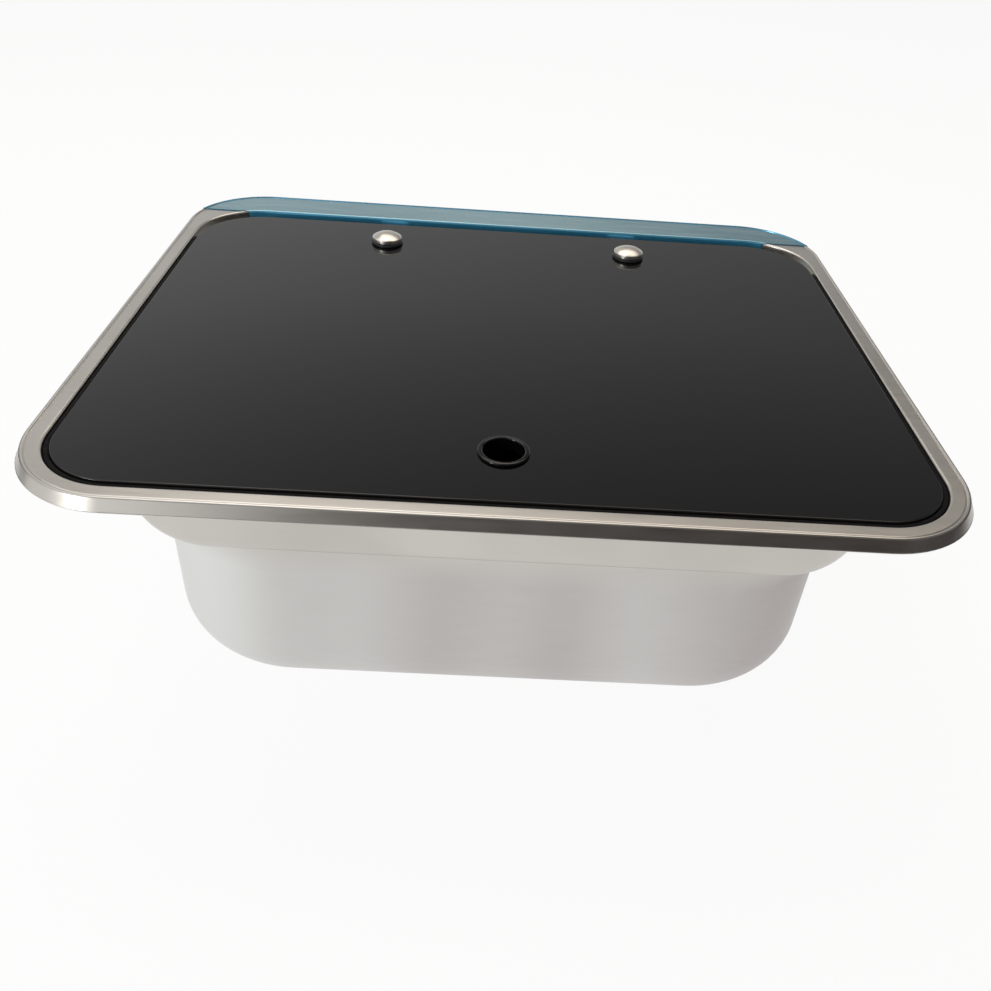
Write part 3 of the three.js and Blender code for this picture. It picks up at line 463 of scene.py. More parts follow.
gasket_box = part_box("lid_gasket")
gasket_bottom = gasket_box[0].z / MM
lip_top = gasket_box[1].z / MM
gasket_foot = gasket_bottom + 2.4
gasket_section = [
    (0.6, lip_top - 0.5),
    (1.1, lip_top - 0.1),
    (1.8, lip_top),
    (3.0, lip_top - 0.1),
    (3.6, lip_top - 0.6),
    (3.7, lip_top - 1.4),
    (3.7, gasket_foot + 0.2),
    (3.9, gasket_foot),
    (7.2, gasket_foot),
    (7.6, gasket_foot - 0.4),
    (7.6, gasket_bottom),
    (2.1, gasket_bottom),
    (0.6, gasket_bottom + 1.5),
]
gasket = looped("lid_gasket_strip", [ring(recess_plan, inset(i), z) for i, z in gasket_section])
rear_cut = gasket_box[1].y / MM


def slab(name, low, high):
    """A box between two corners, in millimetres: a knife, a blank or a piece of the stage."""
    across, along, up = zip(low, high)
    corners = [(x, y, z) for x in across for y in along for z in up]
    faces = [(0, 1, 3, 2), (4, 6, 7, 5), (0, 4, 5, 1), (2, 3, 7, 6), (0, 2, 6, 4), (1, 5, 7, 3)]
    return mesh_object(name, corners, faces)


cut(gasket, [slab("knife", (-400, rear_cut, -50), (400, 400, 50))])


# EPDM rubber, extruded: deep black, dull, with a fine dusty bloom.
def extruded_rubber(tree, place):
    bloom = mottle(tree, place, 14, 0, 1)
    return {
        "Base Color": blend_colours(tree, bloom, "#070607", "#0f0e0f"),
        "Roughness": mottle(tree, place, 3, 0.7, 0.85),
        "IOR": 1.5,
        "Specular IOR Level": 0.15,
        "Normal": relief(tree, mottle(tree, place, 0.6, 0, 1), 0.02),
    }


black_rubber = finish_of("black_epdm_rubber", extruded_rubber)
wear(gasket, black_rubber, "lid_gasket", body="sink", slot="black_rubber")

# ------------------------------------------------------------------ protective film
# The maker's thin blue plastic film, still lying on the rear of the rim. It follows the bead
# and the land, and its cut edge hangs a little way down into the recess.

FILM = 0.4


def wall_end(offset):
    """The film's cut edge, below the recess's rounded edge."""
    return [ring(recess_plan, inset(RECESS_DRAFT + offset), land - 6)]


def flank_foot(offset):
    """The film's other edge, at the foot of the flank."""
    return lip(offset)[-1:]


film_run = [flank_foot, shoulder, *land_run, recess_edge, wall_end]
film = looped("film_strip", [*skin(film_run, GAP + FILM), *skin(film_run, GAP)[::-1]])
film_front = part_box("protective_film")[0].y / MM
cut(film, [slab("knife", (-400, film_front, -50), (400, 400, 50))], "INTERSECT")


# Low-density polyethylene film, tinted blue, on steel: it shows the steel's sheen through
# the tint, with soft lengthwise wrinkles. Its colour holds painted light: wide patches of it
# are painted lighter and darker, and where it folds down over an edge it is painted a
# strong, saturated blue.
def tinted_film(tree, place):
    wrinkles = mottle(tree, place, 16, 0, 1, stretch=(0.25, 1, 1), detail=2)
    # Painted light: where the film slopes down over an edge, its colour turns a strong, saturated
    # blue.
    facing = add(tree, "ShaderNodeNewGeometry").outputs["True Normal"]
    level_part = add(tree, "ShaderNodeSeparateXYZ", {0: facing}).outputs["Z"]
    slopes = {"Value": level_part, "From Min": 0.9, "From Max": 0.4}
    slope_painted_light = add(tree, "ShaderNodeMapRange", slopes).outputs[0]
    # Painted light and shade: wide patches of the film are painted lighter and darker.
    painted_light_patches = mottle(tree, place, 320, 0, 1, detail=2, shift=(350, 300, 0))
    film_with_painted_light = blend_colours(tree, painted_light_patches, "#8aafb9", "#588593")
    return {
        "Base Color": blend_colours(tree, slope_painted_light, film_with_painted_light, "#48a3cc"),
        "Metallic": 0.55,
        "Roughness": 0.24,
        "IOR": 1.51,
        "Coat Weight": 0.5,
        "Coat Roughness": 0.12,
        "Normal": relief(tree, wrinkles, 0.25),
    }


blue_film = finish_of("blue_polyethylene_film", tinted_film)
wear(film, blue_film, "protective_film", body="sink", slot="blue_film")

# ------------------------------------------------------------------ glass lid
# One sheet of 5 mm tempered glass, tinted almost black, with ground and polished edges and
# three drilled holes: the finger hole and one under each hinge cap.

glass_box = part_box("glass_lid")
glass_plan = {
    "half": glass_box[1].x / MM,
    "front": glass_box[0].y / MM,
    "rear": glass_box[1].y / MM,
    "corners": (44, 50),
}
GLASS = 5
GROUND = 0.7
glass_section = []
for a in map(math.radians, (90, 65, 40, 20, 0)):
    glass_section.append((GROUND - GROUND * math.cos(a), land - GROUND + GROUND * math.sin(a)))
glass_section += [(i, 2 * land - GLASS - z) for i, z in glass_section[::-1]]


def plate(name, plan, section):
    """A flat plate with a worked edge: a section from its top rim to its bottom rim."""
    rings = [ring(plan, inset(i), z) for i, z in section]
    count = len(rings[0])
    points = [p for one in rings for p in one]
    faces = [tuple(range(count)), tuple(range((len(rings) - 1) * count, len(rings) * count))]
    for r in range(len(rings) - 1):
        for j in range(count):
            k = (j + 1) % count
            faces.append((r * count + j, r * count + k, (r + 1) * count + k, (r + 1) * count + j))
    return mesh_object(name, points, faces)


FINGER_HOLE = 14
CAP_HOLE = 6
glass = plate("lid_glass", glass_plan, glass_section)
finger_hole = middle("finger_grommet")
cap_places = {hand: middle(f"hinge_cap_{hand}") for hand in ("left", "right")}
drills = [rod("drill", FINGER_HOLE, 4 * GLASS, (finger_hole.x, finger_hole.y, land - 2), sides=96)]
drills += [rod("drill", CAP_HOLE, 4 * GLASS, (c.x, c.y, land - 2)) for c in cap_places.values()]
cut(glass, drills)


# Soda-lime glass, float drawn, tinted grey-black in the melt and tempered: a hard mirror
# gloss with faint wiping marks, and a paler, slightly frosted ground edge. The edge is where
# the glass's own upright falls away, however far the lid is open.
def dark_glass(tree, place):
    facing = add(tree, "ShaderNodeTexCoord").outputs["Normal"]
    upright = add(tree, "ShaderNodeSeparateXYZ", {0: facing}).outputs["Z"]
    flatness = add(tree, "ShaderNodeMath", {0: upright}, operation="ABSOLUTE").outputs[0]
    edges = {"Value": flatness, "From Min": 0.97, "From Max": 0.6}
    ground = add(tree, "ShaderNodeMapRange", edges).outputs[0]
    smear = mottle(tree, place, 70, 0.035, 0.075, stretch=(1, 0.4, 1), detail=4)
    rough = add(tree, "ShaderNodeMix", {"Factor": ground, 2: smear, 3: 0.22}, data_type="FLOAT")
    return {
        "Base Color": blend_colours(tree, ground, "#050505", "#161413"),
        "Roughness": rough.outputs[0],
        "IOR": 1.52,
    }


smoked_glass = finish_of("dark_tempered_glass", dark_glass)
wear(glass, smoked_glass, "glass_lid", body="lid", slot="smoked_glass")

# ------------------------------------------------------------------ finger hole grommet
# A glossy plastic ring snapped into the finger hole, so that a fingertip lifts the lid by a
# smooth edge. Its flanges lie over and under the glass.

barrel, bore, brim = 13.7, 12.4, 15.6
under, top = -5.3, 2.2


def arc(centre, radius, start, end, steps=6):
    """Points on an arc, as (radius, height) pairs."""
    angles = [math.radians(start + (end - start) * i / steps) for i in range(steps + 1)]
    return [(centre[0] + radius * math.cos(a), centre[1] + radius * math.sin(a)) for a in angles]


grommet_profile = [
    *arc((bore + 0.6, under - 0.7), 0.6, 180, 270),
    *arc((brim - 0.6, under - 0.7), 0.6, 270, 360),
    (brim, under),
    (barrel, under),
    (barrel, GAP),
    (brim, GAP),
    *arc((brim - 1.0, top - 1.1), 1.0, 0, 80),
    *arc((bore + 1.2, top - 1.2), 1.2, 90, 180),
]
grommet = turned("finger_ring", grommet_profile, (finger_hole.x, finger_hole.y, land), sides=96)


# ABS, injection moulded in a polished tool: black, with a clear gloss that is barely uneven.
def polished_abs(tree, place):
    return {
        "Base Color": blend_colours(tree, mottle(tree, place, 20, 0, 1), "#080809", "#0d0d0e"),
        "Roughness": mottle(tree, place, 6, 0.06, 0.1),
        "IOR": 1.54,
        "Specular IOR Level": 0.35,
        "Normal": relief(tree, mottle(tree, place, 2, 0, 1), 0.004),
    }


gloss_black = finish_of("black_polished_abs", polished_abs)
wear(grommet, gloss_black, "finger_grommet", body="lid", slot="gloss_black")

# ------------------------------------------------------------------ hinge caps, washers, pads
# On each side a chromed brass cap is screwed up from below through the glass. A nylon washer
# with a collar keeps it off the glass, and a nylon pad parts the glass from the hinge arm.

CAP_SCREW = 2.6
CAP_RADIUS = 12.3
CAP_POST = 4.4
DOME_RISE = 4
WASHER = 1.8
PAD = 1
ARM_SHEET = 2
washer_top = GAP + WASHER
pad_top = -GLASS - GAP
pad_bottom = pad_top - PAD
arm_under = pad_bottom - GAP - ARM_SHEET
cap_base = washer_top + GAP
dome_radius = (CAP_RADIUS**2 + DOME_RISE**2) / (2 * DOME_RISE)
cap_top = cap_base + 7
dome_start = math.degrees(math.acos((CAP_RADIUS - 0.25) / dome_radius))
dome_centre = cap_top - dome_radius
collar_end = -GLASS + 2 * GAP
cap_profile = [
    (0, GAP),
    (CAP_SCREW, GAP),
    (CAP_SCREW, collar_end),
    (CAP_POST, collar_end),
    (CAP_POST, cap_base),
    (CAP_RADIUS - 0.4, cap_base),
    (CAP_RADIUS - 0.1, cap_base + 0.12),
    (CAP_RADIUS, cap_base + 0.4),
    (CAP_RADIUS, cap_base + 2.7),
    *arc((0, dome_centre), dome_radius, dome_start, 90, 16)[:-1],
    (0, cap_top),
]
washer_profile = [
    (CAP_POST + GAP, collar_end),
    (CAP_HOLE - GAP, collar_end),
    (CAP_HOLE - GAP, GAP),
    (12.8, GAP),
    (13.0, GAP + 0.2),
    (13.0, washer_top - 0.3),
    (12.7, washer_top),
    (CAP_POST + GAP, washer_top),
]
pad_profile = [
    (CAP_SCREW, pad_bottom),
    (8.8, pad_bottom),
    (9, pad_bottom + 0.2),
    (9, pad_top - 0.2),
    (8.8, pad_top),
    (CAP_SCREW, pad_top),
]


# Brass, turned, then nickel and chrome plated over a fine satin: soft wide highlights.
def chrome_plate(tree, place):
    return {
        "Base Color": blend_colours(tree, mottle(tree, place, 30, 0, 1), "#cfcbc5", "#c6c2bb"),
        "Metallic": 1.0,
        "Roughness": mottle(tree, place, 10, 0.3, 0.36),
        "Normal": relief(tree, mottle(tree, place, 5, 0, 1), 0.001),
    }


# Nylon 6, moulded: black with a low sheen and a faint grain from the tool.
def moulded_nylon(tree, place):
    return {
        "Base Color": blend_colours(tree, mottle(tree, place, 8, 0, 1), "#171616", "#201f1f"),
        "Roughness": mottle(tree, place, 1.5, 0.42, 0.55),
        "IOR": 1.53,
        "Normal": relief(tree, mottle(tree, place, 0.5, 0, 1), 0.02),
    }


# Stainless steel, blanked and tumbled: finer and cooler than the basin.
def tumbled_steel(tree, place):
    return {
        "Base Color": blend_colours(tree, mottle(tree, place, 12, 0, 1), "#b9b9b8", "#a5a5a6"),
        "Metallic": 1.0,
        "Roughness": mottle(tree, place, 2, 0.24, 0.38),
        "Normal": relief(tree, mottle(tree, place, 0.8, 0, 1), 0.006),
    }


chrome = finish_of("chromed_brass", chrome_plate)
black_nylon = finish_of("black_moulded_nylon", moulded_nylon)
hinge_steel = finish_of("tumbled_stainless_steel", tumbled_steel)


def screw_profile(shank, head, head_height, length):
    """A pan-head screw that stands on its shank, its head's underside at height 0."""
    return [
        (0, -length),
        (shank - 0.3, -length),
        (shank, -length + 0.3),
        (shank, 0),
        (head - 0.1, 0),
        (head, 0.1),
        (head, head_height * 0.5),
        (head * 0.95, head_height * 0.72),
        (head * 0.84, head_height * 0.9),
        (head * 0.7, head_height),
        (1.4, head_height),
        (1.2, head_height * 0.45),
        (0, head_height * 0.45),
    ]


for hand, place in cap_places.items():
    at = (place.x, place.y, land)
    cap = turned(f"cap_{hand}", cap_profile, at, sides=96)
    wear(cap, chrome, f"hinge_cap_{hand}", body="lid", slot="chrome")
    washer = turned(f"washer_{hand}", washer_profile, at, sides=96)
    wear(washer, black_nylon, f"cap_washer_{hand}", body="lid", slot="black_nylon")
    pad = turned(f"pad_{hand}", pad_profile, at)
    wear(pad, black_nylon, f"glass_pad_{hand}", body="lid", slot="black_nylon")
    screw = turned(f"cap_bolt_{hand}", screw_profile(2.3, 4.5, 2.2, 8.3), sides=40)
    move(screw, (place.x, place.y, land + arm_under - GAP), math.pi, "X")
    wear(screw, hinge_steel, f"cap_screw_{hand}", body="lid", slot="hinge_stainless")

# ------------------------------------------------------------------ hinge arms, pins, bases
# Each hinge is a flat steel arm rolled into a knuckle, a riveted pin, and a folded bracket
# whose two ears lean back over the tap shelf to carry the pin in the gap behind the glass.

pin_low, pin_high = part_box("hinge_pin_left")
axis_y = (pin_low.y + pin_high.y) / 2 / MM
axis_z = (pin_low.z + pin_high.z) / 2 / MM
base_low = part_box("hinge_base_left")[0]
KNUCKLE = 3.6
PIN_BORE = 2.1
ARM_WIDTH = 16
arm_bottom = land + arm_under - axis_z
arm_top = arm_bottom + ARM_SHEET
arm_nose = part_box("hinge_arm_left")[0].y / MM - axis_y


def across(name, outline, width, centre_x):
    """A side view of (y, z) points about the hinge axis, given a width along X."""
    count = len(outline)
    points = []
    for x in (centre_x - width / 2, centre_x + width / 2):
        points += [(x, axis_y + y, axis_z + z) for y, z in outline]
    faces = [tuple(range(count)), tuple(range(count, 2 * count))]
    faces += [(j, (j + 1) % count, (j + 1) % count + count, j + count) for j in range(count)]
    made = mesh_object(name, points, faces)
    ease(made, 0.25)
    return made


def ease(piece, bevel):
    """Rounds the sharp edges a little and bakes the result."""
    change = piece.modifiers.new("ease", "BEVEL")
    change.width, change.segments, change.angle_limit = bevel * MM, 2, math.radians(50)
    graph = bpy.context.evaluated_depsgraph_get()
    baked = bpy.data.meshes.new_from_object(piece.evaluated_get(graph))
    piece.modifiers.clear()
    piece.data = baked
    tidy_mesh(baked)


roll_start = 180 - math.degrees(math.asin(arm_top / KNUCKLE))
roll_end = -180 - math.degrees(math.asin(arm_bottom / KNUCKLE))
arm_side = [(arm_nose, arm_bottom), (arm_nose, arm_top)]
arm_side += arc((0, 0), KNUCKLE, roll_start, roll_end, 28)
FOOT_DEPTH = 26
FOOT_WIDTH = 44
FOOT_SHEET = 2
EAR_DEPTH = 21
foot_rear = base_low.y / MM + FOOT_DEPTH - axis_y
foot_bottom = base_low.z / MM - axis_z
ear_side = [(foot_rear - EAR_DEPTH, foot_bottom), (foot_rear, foot_bottom)]
ear_side += arc((0, 0), KNUCKLE, -25, 155, 24)
pin_profile = [
    (0, -12.1),
    (2.4, -12.1),
    (2.9, -11.7),
    (2.9, -10.6),
    (1.8, -10.6),
    (1.8, 10.6),
    (2.9, 10.6),
    (2.9, 11.7),
    (2.4, 12.1),
    (0, 12.1),
]

for hand, place in cap_places.items():
    x = place.x
    arm = across(f"arm_{hand}", arm_side, ARM_WIDTH, x)
    pin_bore = rod("drill", PIN_BORE, 40, (x, axis_y, axis_z), "x")
    screw_bore = rod("drill", CAP_SCREW, 10, (x, place.y, axis_z + arm_top))
    cut(arm, [pin_bore, screw_bore])
    wear(arm, hinge_steel, f"hinge_arm_{hand}", body="lid", slot="hinge_stainless")
    pin = turned(f"pin_{hand}", pin_profile, sides=40)
    move(pin, (x, axis_y, axis_z), math.pi / 2, "Y")
    wear(pin, hinge_steel, f"hinge_pin_{hand}", body="sink", slot="hinge_stainless")
    foot = slab(
        f"bracket_{hand}",
        (x - FOOT_WIDTH / 2, axis_y + foot_rear - FOOT_DEPTH, axis_z + foot_bottom),
        (x + FOOT_WIDTH / 2, axis_y + foot_rear, axis_z + foot_bottom + FOOT_SHEET),
    )
    ease(foot, 0.5)
    ear_reach = ARM_WIDTH / 2 + GAP + FOOT_SHEET / 2
    ears = [across("ear", ear_side, FOOT_SHEET, x + side * ear_reach) for side in (-1, 1)]
    cut(foot, ears, "UNION")
    bores = [rod("drill", PIN_BORE, 60, (x, axis_y, axis_z), "x")]
    for c in foot_screws:
        if abs(c.x - x) < FOOT_WIDTH / 2:
            bores.append(rod("drill", SCREW_HOLE, 12, (c.x, c.y, axis_z + foot_bottom)))
    cut(foot, bores)
    wear(foot, hinge_steel, f"hinge_base_{hand}", body="sink", slot="hinge_stainless")

# Four pan-head screws hold the brackets to the tap shelf, with a nut under the sheet on each.
foot_top = base_low.z / MM + FOOT_SHEET
nut_low, nut_high = (c.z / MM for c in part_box("foot_nut_1"))
foot_screw_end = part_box("foot_screw_1")[0].z / MM
foot_bolt_profile = screw_profile(1.9, 3.6, 2, foot_top + GAP - foot_screw_end)
hex_nut_profile = [
    (2.2, nut_low),
    (3.5, nut_low),
    (3.9, nut_low + 0.4),
    (3.9, nut_high - 0.4),
    (3.5, nut_high),
    (2.2, nut_high),
]
for index, c in enumerate(foot_screws, 1):
    head_at = (c.x, c.y, foot_top + GAP)
    screw = turned(f"foot_bolt_{index}", foot_bolt_profile, head_at, sides=40)
    wear(screw, hinge_steel, f"foot_screw_{index}", body="sink", slot="hinge_stainless")
    nut = turned(f"hex_nut_{index}", hex_nut_profile, sides=6)
    move(nut, (c.x, c.y, 0), math.pi / 6)
    wear(nut, hinge_steel, f"foot_nut_{index}", body="sink", slot="hinge_stainless")

# ------------------------------------------------------------------ waste
# A stainless dish with a slotted strainer floor is clamped into the drain hole by one long
# screw into the pillar of a plastic cup below, with a rubber ring above and under the sheet.

SEAL = 1.5
LOWER_SEAL = 2
WALL = 1.2
SCREW_BORE = 3.1
SLOTS = 8
drain = (0, drain_y, drain_seat)
flange_under = SEAL + 2 * GAP
flange_top = flange_under + WALL
cup_under = -9
cup_top = cup_under + WALL
dish_profile = [
    (SCREW_BORE, cup_under),
    (27.4, cup_under),
    (28.4, cup_under + 0.4),
    (30.2, flange_under - WALL),
    (31.4, flange_under),
    (38.4, flange_under),
    (38.8, flange_under + 0.3),
    (38.7, flange_top - 0.4),
    (38.0, flange_top),
    (30.9, flange_top),
    (30.0, flange_top - 0.3),
    (29.0, flange_under - WALL),
    (27.3, cup_top + 0.6),
    (26.6, cup_top),
    (SCREW_BORE, cup_top),
]
strainer = turned("strainer_dish", dish_profile, drain, sides=96)
slots = []
for i in range(SLOTS):
    knife = slab("knife", (9, -2, -20), (23, 2, 0))
    move(knife, drain, 2 * math.pi * i / SLOTS)
    slots.append(knife)
cut(strainer, slots)
wear(strainer, satin_stainless, "waste_flange", body="sink", slot="satin_stainless")


def seal_profile(low, high):
    """A flat rubber ring with eased edges."""
    outer = [(37.6, low), (37.8, low + 0.2), (37.8, high - 0.2), (37.6, high)]
    return [(31.3, low), *outer, (31.3, high)]


trap_top = -SHEET - LOWER_SEAL - 2 * GAP
upper_seal = turned("upper_ring", seal_profile(GAP, GAP + SEAL), drain, sides=96)
wear(upper_seal, black_rubber, "waste_seal_upper", body="sink", slot="black_rubber")
lower_seal = turned("lower_ring", seal_profile(trap_top + GAP, -SHEET - GAP), drain, sides=96)
wear(lower_seal, black_rubber, "waste_seal_lower", body="sink", slot="black_rubber")

OUTLET_REACH = 52
OUTLET_BORE = 8.5
trap_bottom = trap_top - 44
pillar_top = cup_under - GAP
outlet_z = drain_seat + trap_top - 27
cup_profile = [
    (0, trap_bottom),
    (28, trap_bottom),
    *arc((29, trap_bottom + 5), 5, 280, 360),
    (34, trap_top - 3),
    (39.6, trap_top - 3),
    (40, trap_top - 2.6),
    (40, trap_top - 0.4),
    (39.6, trap_top),
    (31.5, trap_top),
    (31.5, trap_bottom + 7.5),
    (26.5, trap_bottom + 2.5),
    (7, trap_bottom + 2.5),
    (7, pillar_top),
    (SCREW_BORE, pillar_top),
    (SCREW_BORE, pillar_top - 25),
    (0, pillar_top - 25),
]
cup = turned("waste_cup", cup_profile, drain, sides=96)
spigot_start = 32.75
spigot_length = OUTLET_REACH - spigot_start
spigot_y = drain_y + (OUTLET_REACH + spigot_start) / 2
cut(cup, [rod("spigot", 13, spigot_length, (0, spigot_y, outlet_z), "y", sides=64)], "UNION")
cut(cup, [rod("drill", OUTLET_BORE, 45, (0, drain_y + 32, outlet_z), "y", sides=64)])


# Polypropylene, injection moulded: milky white, waxy, with a fine spark-eroded grain.
def moulded_pp(tree, place):
    return {
        "Base Color": blend_colours(tree, mottle(tree, place, 40, 0, 1), "#dcdcd6", "#d2d2cb"),
        "Roughness": mottle(tree, place, 3, 0.4, 0.52),
        "IOR": 1.49,
        "Subsurface Weight": 0.05,
        "Subsurface Radius": (0.002, 0.002, 0.002),
        "Normal": relief(tree, mottle(tree, place, 0.7, 0, 1), 0.02),
    }


white_plastic = finish_of("white_moulded_polypropylene", moulded_pp)
wear(cup, white_plastic, "trap_body", body="sink", slot="white_plastic")

clamp_screw = turned(
    "clamp_bolt",
    screw_profile(2.8, 6, 1.9, 25),
    (0, drain_y, drain_seat + cup_top + GAP),
    sides=48,
)
wear(clamp_screw, hinge_steel, "waste_screw", body="sink", slot="hinge_stainless")


def along_y(name, profile):
    """A turned piece whose axis runs to the rear from under the drain."""
    made = turned(name, profile, sides=64)
    move(made, (0, drain_y, outlet_z), -math.pi / 2, "X")
    return made


# The outlet: a rubber ring, a barbed tail and a ribbed union nut that pulls the tail home.
ring_start = OUTLET_REACH + GAP
ring_end = ring_start + SEAL
ring_profile = [
    (OUTLET_BORE, ring_start),
    (13, ring_start),
    (13, ring_end),
    (OUTLET_BORE, ring_end),
]
outlet_ring = along_y("outlet_ring", ring_profile)
wear(outlet_ring, black_rubber, "outlet_seal", body="sink", slot="black_rubber")

TAIL_RADIUS = 10.8
BARBS = 3
tail_start = ring_end + GAP
tail_end = tail_start + 41
barb_start = tail_start + 8.6
pitch = (tail_end - barb_start) / BARBS
tail_profile = [
    (OUTLET_BORE, tail_start),
    (13, tail_start),
    (13, tail_start + 3),
    (TAIL_RADIUS, tail_start + 3),
]
for i in range(BARBS):
    start = barb_start + i * pitch
    barb = [(12.1, start), (12.2, start + 0.4)]
    tail_profile += [(TAIL_RADIUS, start), *barb, (TAIL_RADIUS, start + 0.85 * pitch)]
tail_profile += [(TAIL_RADIUS, tail_end - 0.3), (10.5, tail_end), (OUTLET_BORE, tail_end)]
tail = along_y("barbed_tail", tail_profile)
wear(tail, white_plastic, "hose_tail", body="sink", slot="white_plastic")

nut_end = tail_start + 6.3
nut_start = nut_end - 21
RIBS = 12
RIB_POINTS = 144
nut_outline = [
    (13.3, nut_start, 0),
    (17.6, nut_start, 0.6),
    (18, nut_start + 0.5, 0.8),
    (18, nut_end - 0.8, 0.8),
    (17.2, nut_end, 0.6),
    (11.4, nut_end, 0),
    (11.4, nut_end - 3, 0),
    (13.3, nut_end - 3, 0),
]
nut_rings = []
for radius, height, rib in nut_outline:
    turns = [2 * math.pi * j / RIB_POINTS for j in range(RIB_POINTS)]
    reaches = [radius + rib * math.cos(RIBS * t) for t in turns]
    nut_rings.append([(r * math.cos(t), r * math.sin(t), height) for r, t in zip(reaches, turns)])
union_nut = looped("union_nut", nut_rings)
move(union_nut, (0, drain_y, outlet_z), -math.pi / 2, "X")
wear(union_nut, white_plastic, "outlet_nut", body="sink", slot="white_plastic")

# ------------------------------------------------------------------ plug
# A tapered rubber plug that seals in the dish, with a turned knob pressed into its top.

plug_under = flange_top + GAP
plug_top = plug_under + 2.2
plug_bottom = plug_under - 8.8
plug_profile = [
    (0, plug_bottom),
    (26.2, plug_bottom),
    (27.1, plug_bottom + 0.6),
    (28.7, flange_under - WALL - 0.2),
    (28.4, plug_under),
    (32.7, plug_under),
    (33, plug_under + 0.4),
    (33, plug_under + 1.0),
    *arc((31.6, plug_top - 1.3), 1.3, 10, 90),
    (2.8, plug_top),
    (2.8, plug_top - 5.1),
    (0, plug_top - 5.1),
]
plug = turned("stopper", plug_profile, drain, sides=96)
wear(plug, black_rubber, "drain_plug", body="plug", slot="black_rubber")

knob_base = plug_top + GAP
knob_profile = [
    (0, plug_top - 4.8),
    (2.5, plug_top - 4.8),
    (2.5, knob_base),
    (4.0, knob_base),
    (3.6, knob_base + 1.5),
    (3.8, knob_base + 3),
    (5.5, knob_base + 4.4),
    (8.9, knob_base + 5.6),
    (9.9, knob_base + 6.6),
    (9.9, knob_base + 8.2),
    (8.8, knob_base + 9.2),
    (6, knob_base + 9.9),
    (0, knob_base + 10),
]
knob = turned("pull_knob", knob_profile, drain, sides=64, sharp=50)
wear(knob, chrome, "plug_knob", body="plug", slot="chrome")

# ------------------------------------------------------------------ studio and camera
# A pale floor under the sink, a soft room that is paler low down and on the left, three
# softboxes, black flags that darken the rim's flank, and the photograph's camera.

floor_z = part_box("outlet_nut")[0].z / MM - 0.5
floor = slab("studio_floor", (-6000, -6000, floor_z - 20), (6000, 6000, floor_z))
floor_paint = bpy.data.materials.new("studio_floor_paint")
tree = bare_tree(floor_paint)
rays = add(tree, "ShaderNodeLightPath").outputs
seen = rays["Is Camera Ray"]
for kind in ("Is Glossy Ray", "Is Transmission Ray"):
    seen = add(tree, "ShaderNodeMath", {0: seen, 1: rays[kind]}, operation="MAXIMUM").outputs[0]
# The rest of the floor's brightness comes from the lamps, so it keeps the object's shadow.
OWN_WHITE = 0.92
share = add(tree, "ShaderNodeMath", {0: seen, 1: OWN_WHITE}, operation="MULTIPLY").outputs[0]
matt = add(tree, "ShaderNodeBsdfDiffuse", {"Color": linear("#f4f4f3")})
glow = add(tree, "ShaderNodeEmission", {"Color": (1, 1, 1, 1), "Strength": 1.0})
mixed = add(tree, "ShaderNodeMixShader", {0: share, 1: matt.outputs[0], 2: glow.outputs[0]})
add(tree, "ShaderNodeOutputMaterial", {"Surface": mixed.outputs[0]})
floor.data.materials.append(floor_paint)

world = bpy.data.worlds.new("studio_room")
bpy.context.scene.world = world
tree = bare_tree(world)
direction = add(tree, "ShaderNodeTexCoord").outputs["Generated"]
way = add(tree, "ShaderNodeSeparateXYZ", {0: direction}).outputs
sides = {"Value": way["X"], "From Min": -0.5, "From Max": 0.5, "To Min": 0.7, "To Max": 0.24}
walls = add(tree, "ShaderNodeMapRange", sides).outputs[0]
heights = {"Value": way["Z"], "From Min": 0.42, "From Max": 0.8, "To Min": 1.0, "To Max": 0.25}
ceiling = add(tree, "ShaderNodeMapRange", heights).outputs[0]
room = add(tree, "ShaderNodeMath", {0: walls, 1: ceiling}, operation="MULTIPLY").outputs[0]
horizon = {"Value": way["Z"], "From Min": 0.12, "From Max": 0.35}
above = add(tree, "ShaderNodeMapRange", horizon, interpolation_type="SMOOTHSTEP").outputs[0]
strength = add(tree, "ShaderNodeMix", {"Factor": above, 2: 0.9, 3: room}, data_type="FLOAT")
sky = add(tree, "ShaderNodeBackground", {"Color": (1, 1, 1, 1), "Strength": strength.outputs[0]})
add(tree, "ShaderNodeOutputWorld", {"Surface": sky.outputs[0]})


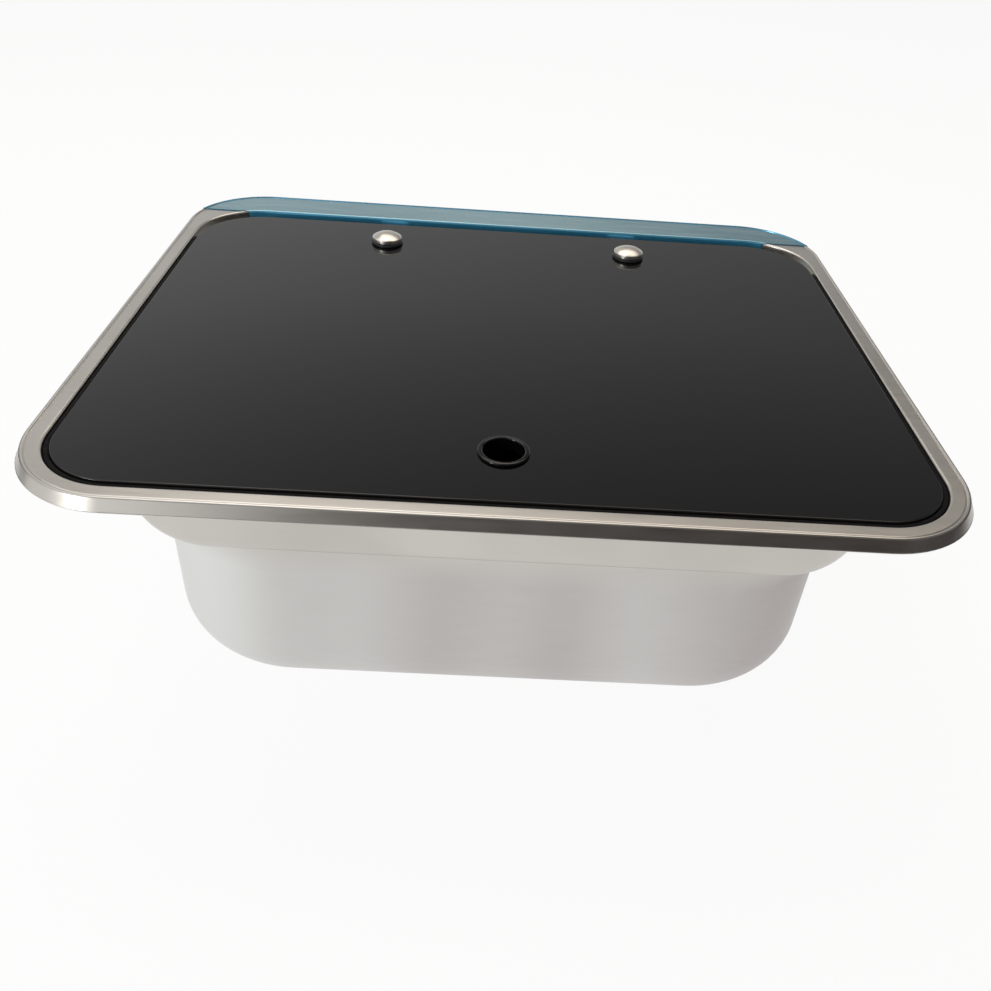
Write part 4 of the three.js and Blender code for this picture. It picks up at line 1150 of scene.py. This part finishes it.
def lamp(name, place, aim, width, depth, power, colour="#ffffff"):
    """A soft lamp with a flat front, placed and aimed in millimetres."""
    data = bpy.data.lights.new(name, "AREA")
    data.shape, data.energy = "RECTANGLE", power
    data.size, data.size_y = width * MM, depth * MM
    data.color = linear(colour)[:3]
    made = bpy.data.objects.new(name, data)
    bpy.context.scene.collection.objects.link(made)
    made.location = Vector(place) * MM
    made.rotation_euler = (Vector(place) - Vector(aim)).to_track_quat("Z", "Y").to_euler()


lamp("overhead_softbox", (-900, 0, 1800), (0, 0, 0), 1800, 1800, 12)
lamp("rear_softbox", (150, 800, 1900), (0, 0, 0), 2400, 1400, 23, "#fff5e8")
lamp("window_softbox", (-1330, -1330, 500), (-200, -200, 0), 450, 450, 8)

# The flags are only mirrored: the camera doesn't see them, and the floor isn't shaded by them.
flags = [
    slab("front_flag", (-330, -1110, floor_z + 1), (1000, -1100, 450)),
    slab("right_flag", (1000, -1110, floor_z + 1), (1010, 900, 250)),
    slab("left_flag", (-1010, -60, floor_z + 1), (-1000, 900, 200)),
]
flag_cloth = bpy.data.materials.new("black_flag_cloth")
tree = bare_tree(flag_cloth)
matt = add(tree, "ShaderNodeBsdfDiffuse", {"Color": linear("#3a3130")})
add(tree, "ShaderNodeOutputMaterial", {"Surface": matt.outputs[0]})
for flag in flags:
    flag.visible_camera = flag.visible_shadow = flag.visible_diffuse = False
    flag.data.materials.append(flag_cloth)

LENS = 34.08
CAMERA_PLACE = (-12.1, -625.0, land + 308.8)
LOOK_RIGHT, LOOK_DOWN, ROLL = 2.396, 36.563, 4.462
camera_data = bpy.data.cameras.new("photo_camera")
camera_data.lens, camera_data.sensor_width = LENS, 36
camera_data.shift_x = -0.0169
camera_data.clip_start = 0.02
camera = bpy.data.objects.new("photo_camera", camera_data)
bpy.context.scene.collection.objects.link(camera)
turn = (
    Matrix.Rotation(-math.radians(LOOK_RIGHT), 4, "Z")
    @ Matrix.Rotation(math.radians(90 - LOOK_DOWN), 4, "X")
    @ Matrix.Rotation(math.radians(ROLL), 4, "Z")
)
camera.matrix_world = Matrix.Translation(Vector(CAMERA_PLACE) * MM) @ turn
bpy.context.scene.camera = camera
bpy.context.scene.view_settings.view_transform = "Standard"
